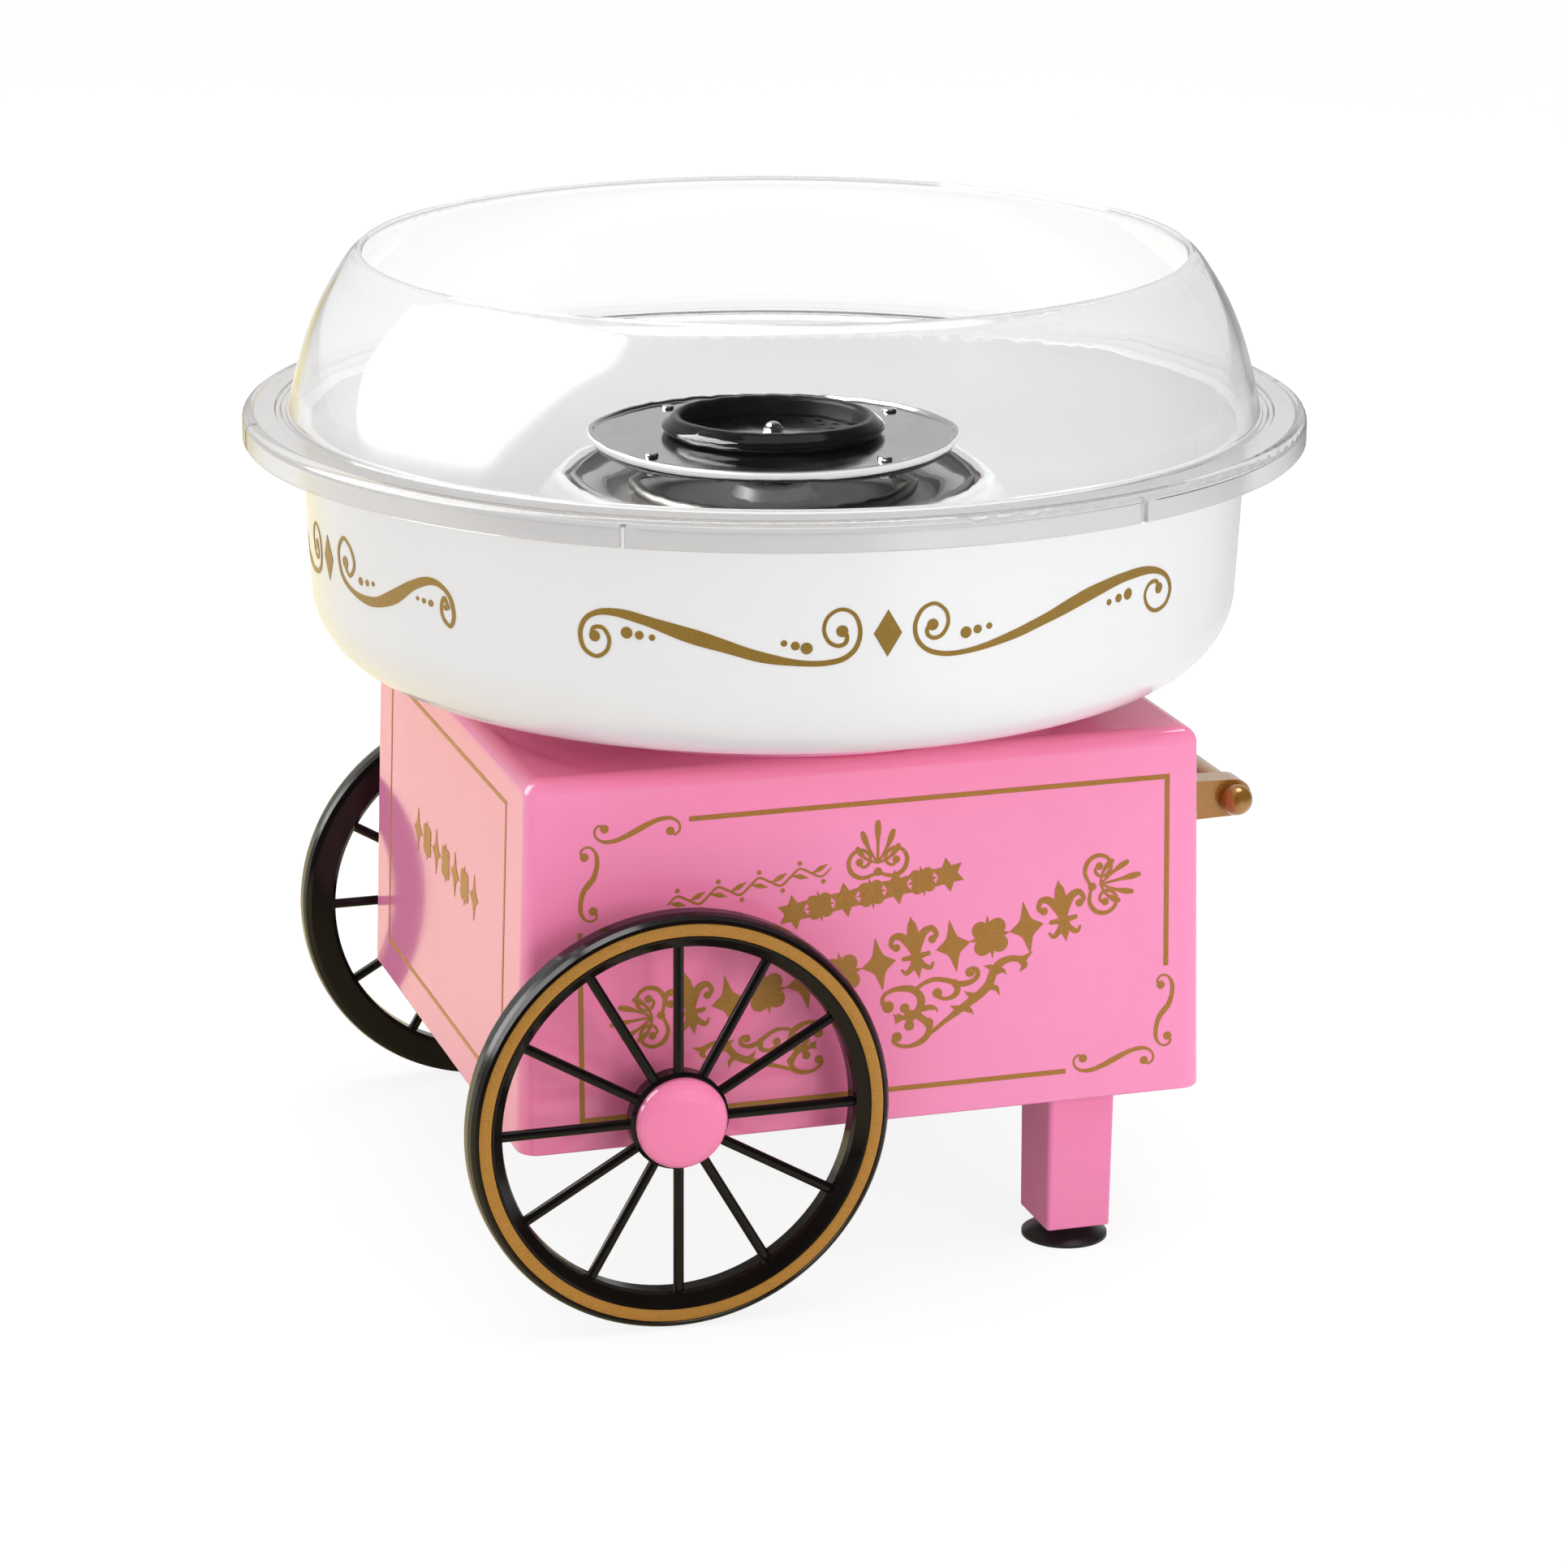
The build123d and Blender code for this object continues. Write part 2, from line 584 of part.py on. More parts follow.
def make_heater_coil():
    with BuildPart() as open_ring:
        with BuildSketch(Plane.XZ):
            with Locations((COIL_R, COIL_Z)):
                Circle(COIL_WIRE_R)
        revolve(axis=Axis.Z, revolution_arc=360 - TAIL_SPREAD)
    turned_ring = Rotation(0, 0, TAIL_START + TAIL_SPREAD) * open_ring.part
    with BuildPart() as coil:
        add(turned_ring)
        # tails go down through the pan
        with BuildSketch(Plane.XY.offset(TAIL_Z)):
            with Locations(*TAIL_SPOTS):
                Circle(COIL_WIRE_R)
        extrude(amount=COIL_Z - TAIL_Z)
        with Locations(*[(x, y, COIL_Z) for x, y in TAIL_SPOTS]):
            Sphere(COIL_WIRE_R)
    save(coil, "heater_coil")


def make_heater_bushings():
    discs = [(193, 3.2, 7.6), (196.0, 4.8, 2.3)]
    save_stacks("heater_bushings", TAIL_SPOTS, discs, bore=COIL_WIRE_R + 0.1)


def make_coil_supports():
    with BuildPart() as supports:
        with BuildSketch(Plane.XY.offset(PAN_FLOOR_TOP + TOUCH_GAP)):
            with PolarLocations(COIL_R, 4, start_angle=0):
                RectangleRounded(7.0, 4.0, 0.8)
        extrude(amount=4.2)
        with BuildSketch(Plane.XZ):
            with Locations((COIL_R, COIL_Z)):
                Circle(COIL_WIRE_R + 0.08)
        revolve(axis=Axis.Z, mode=Mode.SUBTRACT)
        # the support at the tails is left out
        with BuildSketch(Plane.XY.offset(199)):
            with Locations((0, COIL_R)):
                Rectangle(10, 10)
        extrude(amount=10, mode=Mode.SUBTRACT)
    save(supports, "coil_supports")


def make_thermal_cutout():
    y = -28
    with BuildPart() as cutout:
        for base_z, radius, height in ((194.6, 6.2, 3.7), (191.6, 4.6, 3.2)):
            with BuildSketch(Plane.XY.offset(base_z)):
                with Locations((0, y)):
                    Circle(radius)
            extrude(amount=height)
        # two blade terminals below
        with BuildSketch(Plane.XY.offset(187.0)):
            with Locations((-2.6, y), (2.6, y)):
                Rectangle(0.8, 3.6)
        extrude(amount=4.8)
    save(cutout, "thermal_cutout")


# ==================================================================
# Motor
# ==================================================================
SHAFT_R = 2.5
SHAFT_Z, SHAFT_TOP = MOTOR_Z - 2.7, 214.0
PIN_Z = 208.4               # cross pin that drives the extractor head
TERMINAL_SPOTS = [(0, 11.0), (0, -11.0)]
CORE_SLOTS = 5
CORE_SLOT_R = 8.3           # ring radius of the winding slots
CORE_START = 18             # degrees
# can section: radius, z; open at the bottom, with a bearing cup at the top
CAN_OUTLINE = [
    (MOTOR_R, MOTOR_Z + 5), (MOTOR_R, MOTOR_TOP - 2), (MOTOR_R - 1.2, MOTOR_TOP - TOUCH_GAP),
    (4.6, MOTOR_TOP - TOUCH_GAP), (4.6, MOTOR_TOP - 6.6), (5.6, MOTOR_TOP - 6.6),
    (5.6, MOTOR_TOP - 1.2), (MOTOR_R - 1.4, MOTOR_TOP - 1.2), (MOTOR_R - 1.0, MOTOR_TOP - 2.4),
    (MOTOR_R - 1.0, MOTOR_Z + 5),
]
# end cap section: radius, z
END_CAP_OUTLINE = [
    (MOTOR_R, MOTOR_Z + 4.95), (MOTOR_R, MOTOR_Z + 2.0), (MOTOR_R - 1.5, MOTOR_Z + 0.5),
    (6.5, MOTOR_Z + 0.5), (6.5, MOTOR_Z - 3.0), (4.0, MOTOR_Z - 3.0), (4.0, MOTOR_Z + 2.8),
    (6.5, MOTOR_Z + 2.8), (MOTOR_R - 3.4, MOTOR_Z + 2.8), (MOTOR_R - 3.4, MOTOR_Z + 8.0),
    (MOTOR_R - 1.1, MOTOR_Z + 8.0), (MOTOR_R - 1.1, MOTOR_Z + 4.95),
]


def make_motor_can():
    with BuildPart() as can:
        with BuildSketch(Plane.XZ):
            with BuildLine():
                Polyline(*CAN_OUTLINE, close=True)
            make_face()
        revolve(axis=Axis.Z)
        with BuildSketch(Plane.XY.offset(MOTOR_TOP - 2)):
            with Locations(*MOTOR_SCREW_SPOTS):
                Circle(1.5)
        extrude(amount=4, mode=Mode.SUBTRACT)
    save(can, "motor_can")


def make_motor_end_cap():
    with BuildPart() as end_cap:
        with BuildSketch(Plane.XZ):
            with BuildLine():
                Polyline(*END_CAP_OUTLINE, close=True)
            make_face()
        revolve(axis=Axis.Z)
        # closed bottom under the shaft end
        with BuildSketch(Plane.XY.offset(MOTOR_Z - 4.0)):
            Circle(6.5)
        extrude(amount=1.0)
        # slots for the brush terminals
        with BuildSketch(Plane.XY.offset(MOTOR_Z - 1)):
            with Locations(*TERMINAL_SPOTS):
                Rectangle(3.4, 1.3)
        extrude(amount=6, mode=Mode.SUBTRACT)
    save(end_cap, "motor_end_cap")


def make_motor_magnets():
    with BuildPart() as magnets:
        with BuildSketch(Plane.XY.offset(137)):
            Circle(MOTOR_R - 1.05)
            Circle(13.2, mode=Mode.SUBTRACT)
            Rectangle(15, 60, mode=Mode.SUBTRACT)
        extrude(amount=34)
    save(magnets, "motor_magnets")


def make_motor_bearings():
    with BuildPart() as bearings:
        for base_z, radius in ((MOTOR_TOP - 6.4, 4.55), (MOTOR_Z - 1.6, 3.95)):
            with BuildSketch(Plane.XY.offset(base_z)):
                Circle(radius)
                Circle(SHAFT_R + RUN_GAP, mode=Mode.SUBTRACT)
            extrude(amount=4.4)
    save(bearings, "motor_bearings")


def make_motor_shaft():
    with BuildPart() as shaft:
        with BuildSketch(Plane.XY.offset(SHAFT_Z)):
            Circle(SHAFT_R)
        extrude(amount=SHAFT_TOP - SHAFT_Z)
        chamfer(shaft.faces().sort_by(Axis.Z)[-1].edges(), 0.6)
        # cross hole for the drive pin
        with BuildSketch(plane_facing_x(-5, PIN_Z)):
            Circle(1.02)
        extrude(amount=10, mode=Mode.SUBTRACT)
    save(shaft, "motor_shaft")


def make_armature_core():
    with BuildPart() as core:
        with BuildSketch(Plane.XY.offset(140)):
            Circle(12.6)
            Circle(SHAFT_R + 0.01, mode=Mode.SUBTRACT)
            with PolarLocations(11.6, CORE_SLOTS, start_angle=CORE_START):
                Rectangle(3.6, 1.6, mode=Mode.SUBTRACT)
            with PolarLocations(CORE_SLOT_R, CORE_SLOTS, start_angle=CORE_START):
                Circle(3.0, mode=Mode.SUBTRACT)
        extrude(amount=26)
    save(core, "armature_core")


def make_windings():
    bottom_z = 135.8
    with BuildPart() as windings:
        # end turns below and above the core
        for base_z, height in ((bottom_z, 4.1), (166.1, 2.6)):
            with BuildSketch(Plane.XY.offset(base_z)):
                Circle(10.6)
                Circle(4.2, mode=Mode.SUBTRACT)
            extrude(amount=height)
        with BuildSketch(Plane.XY.offset(bottom_z)):
            with PolarLocations(CORE_SLOT_R, CORE_SLOTS, start_angle=CORE_START):
                Circle(2.7)
        extrude(amount=32.8)
    save(windings, "armature_windings")


def make_commutator():
    with BuildPart() as commutator:
        with BuildSketch(Plane.XY.offset(125.4)):
            Circle(5.0)
            Circle(SHAFT_R + 0.01, mode=Mode.SUBTRACT)
            with PolarLocations(4.8, CORE_SLOTS, start_angle=0):
                Rectangle(1.0, 0.5, mode=Mode.SUBTRACT)
        extrude(amount=10.2)
    save(commutator, "commutator")


def make_brushes():
    with BuildPart() as brushes:
        with BuildSketch(Plane.XY.offset(127.0)):
            with Locations((0, 8.3), (0, -8.3)):
                Rectangle(4.4, 6.4)
            Circle(5.08, mode=Mode.SUBTRACT)
        extrude(amount=5.0)
        # terminals reach down through the end cap
        with BuildSketch(Plane.XY.offset(111.0)):
            with Locations(*TERMINAL_SPOTS):
                Rectangle(3.0, 0.8)
        extrude(amount=17.0)
    save(brushes, "motor_brushes")


def make_motor_plate():
    with BuildPart() as plate:
        with BuildSketch(Plane.XY.offset(PLATE_Z)):
            Circle(50.0)
            Circle(7.0, mode=Mode.SUBTRACT)
            with Locations(*MOTOR_SCREW_SPOTS):
                Circle(1.6, mode=Mode.SUBTRACT)
            with Locations(*BOSS_SPOTS):
                Circle(3.5, mode=Mode.SUBTRACT)
            # slots that pass cooling air and the leads
            with PolarLocations(32.0, 4, start_angle=0):
                SlotOverall(26, 9, rotation=90, mode=Mode.SUBTRACT)
        extrude(amount=PLATE_THICK)
    save(plate, "motor_plate")


def make_grommets():
    # lower flange, neck through the plate, upper flange
    discs = [
        (PLATE_Z - 2.98, 5.8, 2.96),
        (PLATE_Z - 0.1, 3.42, PLATE_THICK + 0.2),
        (PLATE_TOP + TOUCH_GAP, 5.8, 2.0),
    ]
    save_stacks("motor_grommets", BOSS_SPOTS, discs, bore=1.6)


def make_plate_screws():
    shank_z = 160.0
    discs = [
        (PLATE_TOP + 2.04, 3.6, 2.0),
        (shank_z, SCREW_SHANK_R, PLATE_TOP + 3.0 - shank_z),
    ]
    save_stacks("plate_screws", BOSS_SPOTS, discs)


def make_motor_screws():
    discs = [
        (PLATE_TOP + TOUCH_GAP, 2.7, 1.8),
        (MOTOR_TOP - 3.6, SCREW_SHANK_R, 6.0),
    ]
    save_stacks("motor_screws", MOTOR_SCREW_SPOTS, discs)


# ==================================================================
# Extractor head: everything here lifts off the shaft together
# ==================================================================
DISC_R = 52.0
DISC_Z, DISC_TOP = 217.2, 218.6     # faces of the flat plate
DISC_RIM_Z = 219.5
DISH_R = 50.6
RING_INNER_R, RING_OUTER_R = 25.5, 31.3
RING_TOP = 224.1
HUB_R = 7.0
HUB_Z = 205.6
STUD_R = 1.5                        # threaded stud on top of the hub
STUD_BORE_R = 1.55
RIVET_SPOTS = ring_points(45.0, start=25)
RIVET_HOLE_R = 1.25
ON_DISC_Z = DISC_TOP + TOUCH_GAP    # underside of whatever rests on the disc

# sections: radius, z
HUB_OUTLINE = [
    (SHAFT_R + RUN_GAP, HUB_Z), (HUB_R - 0.6, HUB_Z), (HUB_R, HUB_Z + 0.6), (HUB_R, 211.4),
    (12.0, 211.4), (12.0, 212.4), (HUB_R, 212.4), (HUB_R, DISC_Z - TOUCH_GAP),
    (STUD_R, DISC_Z - TOUCH_GAP), (STUD_R, 220.2), (0, 220.2), (0, 214.2),
    (SHAFT_R + RUN_GAP, 214.2),
]
DISH_OUTLINE = [
    (HUB_R + 0.03, 210.3), (23.0, 210.3), (25.2, 210.6), (DISH_R - 0.9, 215.9),
    (DISH_R, 216.35), (DISH_R, 216.9), (DISH_R - 1.2, 216.9), (25.0, 211.5),
    (23.0, 211.35), (HUB_R + 0.03, 211.35),
]
DISC_OUTLINE = [
    (STUD_BORE_R, DISC_Z), (DISC_R - 1.2, DISC_Z), (DISC_R - 0.4, 217.5), (DISC_R, 218.2),
    (DISC_R, 218.9), (DISC_R - 0.35, DISC_RIM_Z - 0.1), (DISC_R - 0.9, DISC_RIM_Z),
    (DISC_R - 1.45, DISC_RIM_Z - 0.1), (DISC_R - 1.9, DISC_TOP + 0.15),
    (DISC_R - 2.3, DISC_TOP), (STUD_BORE_R, DISC_TOP),
]
DOME_OUTLINE = [
    (STUD_BORE_R, 219.9), (2.45, 219.9), (2.3, 220.9), (1.7, 221.7), (0.9, 222.1),
    (0, 222.2), (0, 220.5), (STUD_BORE_R, 220.5),
]
# inner wall and flat crest of the sugar ring, then its rounded outer side
RING_INSIDE = [
    (RING_INNER_R + 0.4, ON_DISC_Z), (RING_INNER_R, DISC_TOP + 0.5),
    (RING_INNER_R, RING_TOP - 1.3), (RING_INNER_R + 0.3, RING_TOP - 0.5),
    (RING_INNER_R + 1.0, RING_TOP), (RING_INNER_R + 1.8, RING_TOP),
]
RING_OUTSIDE = [
    RING_INSIDE[-1], (RING_OUTER_R - 1.9, RING_TOP - 1.1), (RING_OUTER_R, RING_TOP - 3.3),
    (RING_OUTER_R - 0.9, DISC_TOP + 0.6), (RING_OUTER_R - 2.0, ON_DISC_Z),
]


def make_drive_pin():
    with BuildPart() as pin:
        with BuildSketch(plane_facing_x(-5.6, PIN_Z)):
            Circle(1.0)
        extrude(amount=11.2)
    save(pin, "drive_pin")


def make_head_hub():
    slot_z, slot_top = HUB_Z - 1, 209.6
    with BuildPart() as hub:
        with BuildSketch(Plane.XZ):
            with BuildLine():
                Polyline(*HUB_OUTLINE, close=True)
            make_face()
        revolve(axis=Axis.Z)
        # slot that drops over the drive pin
        with BuildSketch(plane_facing_x(-9, 0)):
            with Locations((0, (slot_z + slot_top) / 2)):
                Rectangle(2.3, slot_top - slot_z)
        extrude(amount=18, mode=Mode.SUBTRACT)
    save(hub, "head_hub")


def make_head_dish():
    with BuildPart() as dish:
        with BuildSketch(Plane.XZ):
            with BuildLine():
                Polyline(*DISH_OUTLINE, close=True)
            make_face()
        revolve(axis=Axis.Z)
        with BuildSketch(Plane.XY.offset(208)):
            with Locations(*RIVET_SPOTS):
                Circle(RIVET_HOLE_R)
        extrude(amount=12, mode=Mode.SUBTRACT)
    save(dish, "head_dish")


def make_head_disc():
    with BuildPart() as disc:
        with BuildSketch(Plane.XZ):
            with BuildLine():
                Polyline(*DISC_OUTLINE, close=True)
            make_face()
        revolve(axis=Axis.Z)
        with BuildSketch(Plane.XY.offset(210)):
            with Locations(*RIVET_SPOTS):
                Circle(RIVET_HOLE_R)
            # two rings of holes that let the sugar down into the dish
            with PolarLocations(21.5, 20):
                Circle(1.1)
            with PolarLocations(17.6, 16):
                Circle(1.1)
        extrude(amount=12, mode=Mode.SUBTRACT)
    save(disc, "head_disc")


def make_head_rivets():
    with BuildPart() as rivets:
        for base_z, radius, height in ((213.9, 1.2, 4.9), (ON_DISC_Z, 2.0, 0.8)):
            with BuildSketch(Plane.XY.offset(base_z)):
                with Locations(*RIVET_SPOTS):
                    Circle(radius)
            extrude(amount=height)
        fillet(rivets.faces().filter_by(Axis.Z).group_by(Axis.Z)[-1].edges(), 0.5)
    save(rivets, "head_rivets")


def make_sugar_ring():
    with BuildPart() as ring:
        with BuildSketch(Plane.XZ):
            with BuildLine():
                Polyline(*RING_INSIDE)
                Spline(*RING_OUTSIDE, tangents=((1, 0), (-0.9, -0.45)))
                Line(RING_OUTSIDE[-1], RING_INSIDE[0])
            make_face()
        revolve(axis=Axis.Z)
    save(ring, "sugar_ring")


def make_dome_nut():
    with BuildPart() as nut:
        with BuildSketch(Plane.XY.offset(ON_DISC_Z)):
            RegularPolygon(2.9, 6)
            Circle(STUD_BORE_R, mode=Mode.SUBTRACT)
        extrude(amount=1.5)
        with BuildSketch(Plane.XZ):
            with BuildLine():
                Polyline(*DOME_OUTLINE, close=True)
            make_face()
        revolve(axis=Axis.Z)
    save(nut, "dome_nut")


# ==================================================================
# Bowl
# ==================================================================
BOWL_Z = 157.5
BOWL_TOP_R = 131.2
BOWL_LOW_R = 129.3
BOWL_WALL = 2.4
BOWL_CORNER_R = 22.0        # outside, between floor and side wall
BOWL_LIP_R = 133.6
BOWL_LIP_Z = 226.4
BOWL_HOLE_R = 58.2
BOWL_HOLE_Z = 207.8
COLLAR_R = 57.1
BOWL_TOP_INNER_R = BOWL_TOP_R - BOWL_WALL - 0.1
BOWL_FLOOR_R = BOWL_LOW_R - BOWL_CORNER_R       # where the flat floor ends
BOWL_CORNER_Z = BOWL_Z + BOWL_CORNER_R
BOWL_FLOOR_TOP = BOWL_Z + BOWL_WALL

# pieces of the bowl section: radius, z
BOWL_COLLAR = [
    (BOWL_HOLE_R, BOWL_HOLE_Z - 0.9), (BOWL_HOLE_R, 204.4), (COLLAR_R, 202.4),
    (COLLAR_R, BOWL_Z), (COLLAR_R + 2.2, BOWL_Z), (COLLAR_R + 2.2, 199.6),
    (COLLAR_R + 3.4, 201.8),
]
BOWL_CONE_UNDERSIDE = [BOWL_COLLAR[-1], (68.0, 187.0), (78.0, 164.5), (84.0, BOWL_Z)]
BOWL_LIP = [
    (BOWL_TOP_R, 221.6), (BOWL_LIP_R, 223.4), (BOWL_LIP_R, BOWL_LIP_Z - 0.6),
    (BOWL_LIP_R - 0.6, BOWL_LIP_Z), (BOWL_TOP_R - BOWL_WALL + 0.4, BOWL_LIP_Z),
    (BOWL_TOP_R - BOWL_WALL - 0.2, BOWL_LIP_Z - 0.6), (BOWL_TOP_INNER_R, 221.6),
]
BOWL_CONE_TOP = [
    (86.0, BOWL_FLOOR_TOP), (80.0, 166.0), (70.3, 188.2), (63.6, 203.4), (62.0, 206.6),
]
BOWL_HOLE_RIM = [
    BOWL_CONE_TOP[-1], (61.2, 207.5), (60.2, BOWL_HOLE_Z), (59.2, BOWL_HOLE_Z), BOWL_COLLAR[0],
]


def make_bowl():
    outer_corner = [(BOWL_FLOOR_R, BOWL_Z), (BOWL_LOW_R, BOWL_CORNER_Z)]
    inner_corner = [(BOWL_LOW_R - BOWL_WALL, BOWL_CORNER_Z), (BOWL_FLOOR_R, BOWL_FLOOR_TOP)]
    with BuildPart() as bowl:
        with BuildSketch(Plane.XZ):
            with BuildLine():
                # underside and outside, from the hole out to the lip
                Polyline(*BOWL_COLLAR)
                Spline(*BOWL_CONE_UNDERSIDE, tangents=((0.55, -0.95), (0.95, -0.8)))
                Line(BOWL_CONE_UNDERSIDE[-1], outer_corner[0])
                RadiusArc(*outer_corner, -BOWL_CORNER_R)
                Line(outer_corner[1], BOWL_LIP[0])
                Polyline(*BOWL_LIP)
                # inside, from the lip back to the hole
                Line(BOWL_LIP[-1], inner_corner[0])
                RadiusArc(*inner_corner, BOWL_CORNER_R - BOWL_WALL)
                Line(inner_corner[1], BOWL_CONE_TOP[0])
                Spline(*BOWL_CONE_TOP, tangents=((-0.95, 0.5), (-0.35, 0.95)))
                Polyline(*BOWL_HOLE_RIM)
            make_face()
        revolve(axis=Axis.Z)
    save(bowl, "bowl")


# ==================================================================
# Rim guard
# ==================================================================
FLANGE_R = 147.5
FLANGE_Z = 228.5                # top face of the flange
SKIRT_Z = 220.4
GUARD_TOP_R, GUARD_TOP_Z = 114.6, 272.06
SLIT_ANGLES = (-122.4, -67.2, -4.8, 57.6, 112.8, 175.2)
SLIT_RING_R = 143

# pieces of the guard section: radius, z
GUARD_OUTSIDE = [
    (134.7, FLANGE_Z), (133.1, 236.0), (130.9, 244.0), (128.0, 252.0), (124.1, 260.0),
    (120.3, 266.0), (117.3, 270.0), (GUARD_TOP_R + 1.0, GUARD_TOP_Z - 0.7),
]
GUARD_TOP_EDGE = [
    GUARD_OUTSIDE[-1], (GUARD_TOP_R + 0.3, GUARD_TOP_Z), (GUARD_TOP_R - 0.6, GUARD_TOP_Z - 0.1),
    (GUARD_TOP_R - 1.0, GUARD_TOP_Z - 1.2),
]
GUARD_INSIDE = [
    GUARD_TOP_EDGE[-1], (115.9, 268.9), (118.9, 265.0), (122.6, 259.2), (126.3, 251.6),
    (129.1, 243.7), (131.2, 236.0), (132.8, 228.4),
]
FLANGE_UNDERSIDE = [
    GUARD_INSIDE[-1], (132.9, 226.5), (135.2, 226.5), (135.5, 223.0), (137.0, 223.0),
    (137.2, 226.5), (FLANGE_R - 3.4, 226.5), (FLANGE_R - 2.4, 225.4), (FLANGE_R - 2.2, SKIRT_Z),
    (FLANGE_R - 0.3, SKIRT_Z), (FLANGE_R, SKIRT_Z + 0.4), (FLANGE_R, FLANGE_Z - 2.4),
]
# flat top of the flange with a shallow groove
FLANGE_TOP = [
    (FLANGE_R - 2.4, FLANGE_Z), (138.6, FLANGE_Z), (138.2, FLANGE_Z - 0.6),
    (137.0, FLANGE_Z - 0.6), (136.6, FLANGE_Z), GUARD_OUTSIDE[0],
]


def make_rim_guard():
    slits = [Location((SLIT_RING_R * cos(radians(a)), SLIT_RING_R * sin(radians(a)), 0), (0, 0, a))
             for a in SLIT_ANGLES]
    with BuildPart() as guard:
        with BuildSketch(Plane.XZ):
            with BuildLine():
                Spline(*GUARD_OUTSIDE, tangents=((-0.17, 1.0), (-1.0, 0.62)))
                Polyline(*GUARD_TOP_EDGE)
                Spline(*GUARD_INSIDE, tangents=((0.9, -0.75), (0.2, -1.0)))
                Polyline(*FLANGE_UNDERSIDE)
                ThreePointArc(FLANGE_UNDERSIDE[-1], (FLANGE_R - 0.7, FLANGE_Z - 0.7),
                              FLANGE_TOP[0])
                Polyline(*FLANGE_TOP)
            make_face()
        revolve(axis=Axis.Z)
        # slits that let the skirt flex over the bowl
        with BuildSketch(Plane.XY.offset(SKIRT_Z - 1)):
            with Locations(*slits):
                Rectangle(12.0, 1.4)
        extrude(amount=6.6, mode=Mode.SUBTRACT)
    save(guard, "rim_guard")


# ==================================================================
# Switch on the far side
# ==================================================================
SWITCH_TERMINAL_X = 4.5         # either side of the switch centre
ROCKER_TILT = 8.0               # degrees
ROCKER_WIDTH = 16.3
# rocker section: outwards, across, both in the tilted frame
ROCKER_OUTLINE = [
    (4.6, -4.9), (3.6, 0.0), (4.6, 4.9), (0.5, 4.75), (-2.6, 2.4), (-2.6, -2.4), (0.5, -4.75),
]


def make_switch_body():
    with BuildPart() as body:
        # bezel outside the wall
        with BuildSketch(plane_facing_y(SWITCH_X, SWITCH_Y + 0.25, SWITCH_Z, 1)):
            RectangleRounded(22.0, 15.6, 1.2)
        extrude(amount=1.8)
        # body through the opening
        with BuildSketch(plane_facing_y(SWITCH_X, SWITCH_Y + 0.3, SWITCH_Z, -1)):
            Rectangle(18.8, 12.5)
        extrude(amount=13.5)
        # rocker well
        with BuildSketch(plane_facing_y(SWITCH_X, SWITCH_Y + 6, SWITCH_Z, -1)):
            Rectangle(16.6, 10.9)
        extrude(amount=14.0, mode=Mode.SUBTRACT)
        # two blade terminals, inside the housing
        with BuildSketch(plane_facing_y(SWITCH_X, SWITCH_Y - 13.1, SWITCH_Z, -1)):
            with Locations((-SWITCH_TERMINAL_X, 0), (SWITCH_TERMINAL_X, 0)):
                Rectangle(0.8, 4.8)
        extrude(amount=7.0)
    save(body, "switch_body")


def make_switch_rocker():
    outward = (0, cos(radians(ROCKER_TILT)), -sin(radians(ROCKER_TILT)))
    end = (SWITCH_X - ROCKER_WIDTH / 2, SWITCH_Y - 1.2, SWITCH_Z)
    with BuildPart() as rocker:
        with BuildSketch(Plane(origin=end, x_dir=outward, z_dir=(1, 0, 0))):
            with BuildLine():
                Polyline(*ROCKER_OUTLINE, close=True)
            make_face()
        extrude(amount=ROCKER_WIDTH)
        fillet(rocker.edges().filter_by(Axis.X).sort_by(Axis.Y)[-1:], 0.4)
    save(rocker, "switch_rocker")


# ==================================================================
# Power cord, strain relief, plug
# ==================================================================
CORD_R = 2.6
CORD_GROUND_Z = CORD_R + 0.1            # cord centre when it lies on the ground
# strain relief section: radius from the cord, y
RELIEF_OUTLINE = [
    (CORD_R + 0.2, CORD_Y - 6.0), (6.6, CORD_Y - 6.0), (6.6, CORD_Y - 3.2),
    (5.4, CORD_Y - 3.0), (5.4, CORD_Y + 0.35), (7.6, CORD_Y + 0.35), (7.6, CORD_Y + 2.2),
    (5.6, CORD_Y + 3.0), (5.0, CORD_Y + 5.2), (5.0, CORD_Y + 8.6), (3.9, CORD_Y + 13.0),
    (CORD_R + 0.2, CORD_Y + 13.0),
]
# wound turns: oval centre and half axes, drop per turn
LOOP_X, LOOP_Y = 47.0, 121.5
LOOP_HALF_X, LOOP_HALF_Y = 40.0, 19.5
LOOP_PITCH = 5.6
LOOP_TURNS = 3
POINTS_PER_TURN = 10
# cord centre line x, y, z before and after the turns
CORD_LEAD_IN = [
    (CORD_X, CORD_Y - 8, CORD_Z), (CORD_X, CORD_Y - 1, CORD_Z), (CORD_X, CORD_Y + 6, CORD_Z),
    (CORD_X, CORD_Y + 13, CORD_Z), (CORD_X, CORD_Y + 19, CORD_Z - 1.0),
    (CORD_X - 1.0, CORD_Y + 28, CORD_Z - 6.5), (CORD_X - 2.5, 124.5, 44.0),
    (CORD_X - 2.0, 133.0, 33.0), (CORD_X + 3.0, 138.8, 25.5), (CORD_X + 12.0, 141.2, 21.4),
]
CORD_LEAD_OUT = [
    (LOOP_X + 11.0, 141.6, CORD_GROUND_Z), (LOOP_X + 22.0, 141.5, CORD_GROUND_Z),
    (LOOP_X + 38.0, 136.6, CORD_GROUND_Z + 0.15), (LOOP_X + 54.0, 127.2, 4.6),
]


